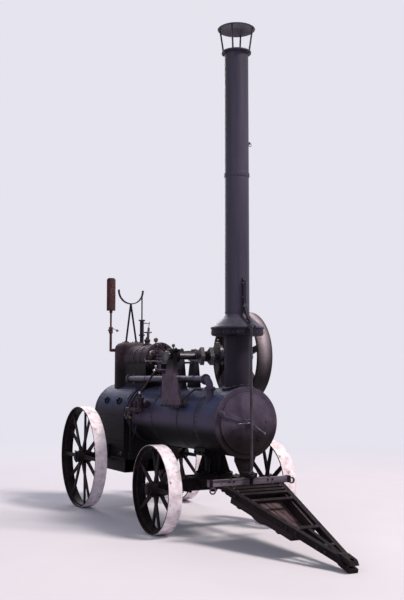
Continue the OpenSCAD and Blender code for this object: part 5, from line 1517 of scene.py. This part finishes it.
@dataclass
class Backhead:
    """Gauge, cocks, guard, rivets and hinges at the firebox end."""

    x: float = -2.520
    hole_z: float = 0.930
    gauge_z: float = 1.440
    glass_y: float = 0.170
    cock_y: float = -0.190

    def behind(self, far: float, y: float, z: float) -> Vector:
        """Return a point some way behind the backhead."""
        return at(self.x - far, y, z)

    def pressure_gauge(self) -> None:
        """Face the pressure gauge with enamel, division marks and a pointer."""
        face, case, marks = Shape(), Shape(), Shape()
        face.lathe(self.behind(0.0715, 0, self.gauge_z), BEHIND, [(0.061, 0), (0.061, 0.002)], 40)
        face.piece("gauge_face", "chassis", GAUGE_FACE)
        case.ring(self.behind(0.071, 0, self.gauge_z), AHEAD, 0.066, 0.0065, 44)
        case.lathe(self.behind(0.033, 0, self.gauge_z), AHEAD,
                   [(0.066, -0.001), (0.050, 0.010), (0.020, 0.014)], 28)
        case.piece("gauge_case", "chassis", OLD_BRASS)
        dial = self.behind(0.0739, 0, self.gauge_z)
        for k in range(21):
            out = ray(-45 + 270 * k / 20)
            marks.tube([dial + out * (0.047 if k % 5 else 0.042), dial + out * 0.054], 0.0010, 4)
        pivot = self.behind(0.0752, 0, self.gauge_z)
        marks.tube([pivot - ray(225) * 0.014, pivot + ray(225) * 0.046], (0.0026, 0.0008), 6)
        marks.lathe(self.behind(0.0735, 0, self.gauge_z), BEHIND,
                    [(0.006, 0), (0.006, 0.003), (0.003, 0.004)], 14)
        marks.piece("gauge_pointer", "chassis", CARRIAGE_BLACK)

    def cocks(self) -> None:
        """Fit levers, glands and drain pipes to the water gauge and the try cocks."""
        brass, pipe = Shape(), Shape()
        y = self.glass_y
        for z in (1.093, 1.313):
            brass.lathe(self.behind(0.045, y, z - 0.018), UP,
                        [(0.014, 0), (0.017, 0.003), (0.017, 0.033), (0.014, 0.036)], 6)
            brass.tube([self.behind(0.050, y, z), self.behind(0.062, y + 0.010, z),
                        self.behind(0.064, y + 0.066, z)], 0.0045, 8)
        y = self.cock_y
        for k in range(3):
            z, lane = 1.143 + k * 0.075, y - 0.024 - 0.006 * k
            brass.tube([self.behind(0.058, y, z), self.behind(0.066, y, z + 0.002),
                        self.behind(0.068, y - 0.050, z + 0.004)], 0.0045, 8)
            pipe.tube([self.behind(0.054, y, z - 0.028), self.behind(0.054, y - 0.006, z - 0.040),
                       self.behind(0.040, lane, 1.080), self.behind(0.030, lane, 0.700)], 0.0045, 8)
        pipe.tube([self.behind(0.045, self.glass_y, 1.074), self.behind(0.045, self.glass_y, 1.030),
                   self.behind(0.030, 0.196, 0.960), self.behind(0.030, 0.200, 0.690)], 0.0055, 8)
        brass.piece("backhead_cocks", "chassis", OLD_BRASS)
        pipe.piece("backhead_drain_pipes", "chassis", OLD_COPPER)

    def glass_guard(self) -> None:
        """Guard the water gauge with three rods between rings."""
        shape = Shape()
        ends = [self.behind(0.045, self.glass_y, z) for z in (1.122, 1.284)]
        for end in ends:
            shape.ring(end, UP, 0.021, 0.003, 20)
        for degrees in (90, 180, 270):
            shape.tube([end + ray(degrees, Plane.XY, 0.021) for end in ends], 0.0025, 6)
        shape.piece("water_gauge_guard", "chassis", OLD_BRASS)

    def fire_door_rivets(self) -> None:
        """Rivet the strap to the fire door and ring the door's shield."""
        shape = Shape()
        shape.rivets([self.behind(0.0343, y, self.hole_z) for y in (-0.150, -0.110, -0.060, 0.010, 0.060)],
                     BEHIND, 0.008)
        shape.rivets([self.behind(0.0223, 0, self.hole_z) + out * 0.152 for out in around(10, 18)
                      if abs(out.z) > 0.25], BEHIND, 0.007)
        shape.piece("fire_door_rivets", "fire_door", PUMP_IRON)

    def hinge_and_pan(self) -> None:
        """Cap the fire door's hinge pin, and hinge the ash pan's damper flap."""
        shape = Shape()
        for side in SIDES:
            shape.lathe(self.behind(0.028, -0.212, self.hole_z + side * 0.059), (0, 0, side),
                        [(0.013, 0), (0.013, 0.005), (0.009, 0.008)], 14)
        shape.slab(self.behind(-0.0255, 0, 0.515), (0.008, 0.480, 0.110))
        for y in (-0.18, 0.18):
            shape.tube([self.behind(-0.018, y + end * 0.030, 0.574) for end in SIDES], 0.009, 10)
            shape.slab(self.behind(-0.0195, y, 0.548), (0.005, 0.034, 0.052))
        shape.piece("ash_pan_damper", "chassis", CARRIAGE_BLACK)

    def build(self) -> None:
        """Build every fitting of the backhead."""
        for make in (self.pressure_gauge, self.cocks, self.glass_guard, self.fire_door_rivets,
                     self.hinge_and_pan):
            make()


@dataclass
class Stage:
    """Pale floor, soft lamps and the camera at the photograph's angle."""

    eye: tuple[float, float, float] = (8.161, -4.441, 1.58)
    heading: float = 27.8
    pitch: float = 4.93
    lens_mm: float = 52.8
    sensor_mm: float = 36.0
    floor_half: float = 60.0
    backdrop_tone: str = "#e6e4ee"
    fade_m: tuple[float, float] = (4.5, 13.0)

    def stand(self, name: str, what: bpy.types.ID, place: Point, look: Vector) -> bpy.types.Object:
        """Put a camera or a lamp in the scene.

        Args:
            name: The object's name.
            what: The camera's or the lamp's data.
            place: Where it stands.
            look: The way it looks.

        Returns:
            The object.
        """
        made = bpy.data.objects.new(name, what)
        bpy.context.scene.collection.objects.link(made)
        made.location = place
        made.rotation_mode = "QUATERNION"
        made.rotation_quaternion = look.to_track_quat("-Z", "Y")
        return made

    def camera(self) -> None:
        """Put the camera where the photograph's was."""
        seen = bpy.data.cameras.new("camera")
        seen.lens, seen.sensor_width, seen.clip_end = self.lens_mm, self.sensor_mm, 200
        h, p = math.radians(self.heading), math.radians(self.pitch)
        look = Vector((-math.cos(h) * math.cos(p), math.sin(h) * math.cos(p), math.sin(p)))
        bpy.context.scene.camera = self.stand("camera", seen, at(*self.eye), look)

    def backdrop(self, tree: Tree) -> Socket:
        """Tell whether the camera, a glossy or a clear surface looks straight at the stage.

        Args:
            tree: The node tree of the floor or the world.

        Returns:
            A value socket, one where it does.
        """
        rays = add(tree, "LightPath").node.outputs
        seen = add(tree, "Math", {0: rays["Is Camera Ray"], 1: rays["Is Glossy Ray"]}, operation="MAXIMUM")
        return add(tree, "Math", {0: seen, 1: rays["Is Transmission Ray"]}, operation="MAXIMUM")

    def floor(self) -> None:
        """Lay a pale floor that keeps the object's shadow and fades into the backdrop."""
        mesh = bpy.data.meshes.new("floor")
        r, z = self.floor_half, CAD_BOX[0][2]
        mesh.from_pydata([(-r, -r, z), (r, -r, z), (r, r, z), (-r, r, z)], [], [(0, 1, 2, 3)])
        made = bpy.data.objects.new("floor", mesh)
        bpy.context.scene.collection.objects.link(made)
        paint = bpy.data.materials.new("pale_floor")
        paint.use_nodes = True
        tree = paint.node_tree
        shader = tree.nodes["Principled BSDF"]
        where = add(tree, "TexCoord", out="Object")
        noise = add(tree, "TexNoise", {"Vector": where, "Scale": 1.3, "Detail": 5.0})
        tint = add(tree, "Mix", {0: noise, 6: "#c6c1c9", 7: "#cdc9d0"}, 2, data_type="RGBA")
        tree.links.new(tint, shader.inputs["Base Color"])
        shader.inputs["Roughness"].default_value = 0.9
        shader.inputs["Specular IOR Level"].default_value = 0.2
        far = add(tree, "VectorMath", {0: where}, "Value", operation="LENGTH")
        far = add(tree, "MapRange", {"Value": far, "From Min": self.fade_m[0], "From Max": self.fade_m[1]},
                  interpolation_type="SMOOTHSTEP", clamp=True)
        share = add(tree, "Math", {0: far, 1: self.backdrop(tree)}, operation="MULTIPLY")
        glow = add(tree, "Emission", {"Color": self.backdrop_tone, "Strength": 1.0})
        both = add(tree, "MixShader", {0: share, 1: shader.outputs[0], 2: glow})
        tree.links.new(both, tree.nodes["Material Output"].inputs["Surface"])
        made.data.materials.append(paint)

    def lamps(self) -> None:
        """Light the object softly, strongest from the side that stood to the sun."""
        # name, place, height looked at, size, power, tint
        for name, place, height, size, power, tint in (
                ("key", (13.0, 10.3, 22.4), 1.2, 6.5, 9200, "#fff6ee"),
                ("fill", (8.0, -18.0, 10.0), 1.4, 12.0, 750, "#eef1ff"),
                ("back", (-17.0, 3.0, 10.0), 1.4, 9.0, 1500, "#f2f0f6")):
            light = bpy.data.lights.new(name, "AREA")
            light.size, light.energy, light.color = size, power, linear(tint)[:3]
            self.stand(name, light, place, Vector((0, 0, height)) - Vector(place))
        world = bpy.data.worlds.new("studio")
        world.use_nodes = True
        tree = world.node_tree
        sky = tree.nodes["Background"].inputs
        plain = self.backdrop(tree)
        tint = add(tree, "Mix", {0: plain, 6: "#dfe4f2", 7: self.backdrop_tone}, 2, data_type="RGBA")
        level = add(tree, "MapRange", {"Value": plain, "To Min": 0.40, "To Max": 1.0})
        tree.links.new(tint, sky["Color"])
        tree.links.new(level, sky["Strength"])
        bpy.context.scene.world = world

    def build(self) -> None:
        """Set the whole stage."""
        self.camera()
        self.floor()
        self.lamps()
        bpy.context.scene.view_settings.view_transform = "Standard"


def main() -> None:
    """Build every sub-assembly in order."""
    logging.basicConfig(level=logging.INFO, format="%(name)s: %(message)s")
    Stage().build()
    dress_frame()
    for group in (Boiler(), Smokebox(), Chimney(), Cylinder(), Motion(), Pipework(), WheelTrim(),
                  Carriage(), Drawbar(), Backhead()):
        group.build()


if __name__ == "__main__":
    main()
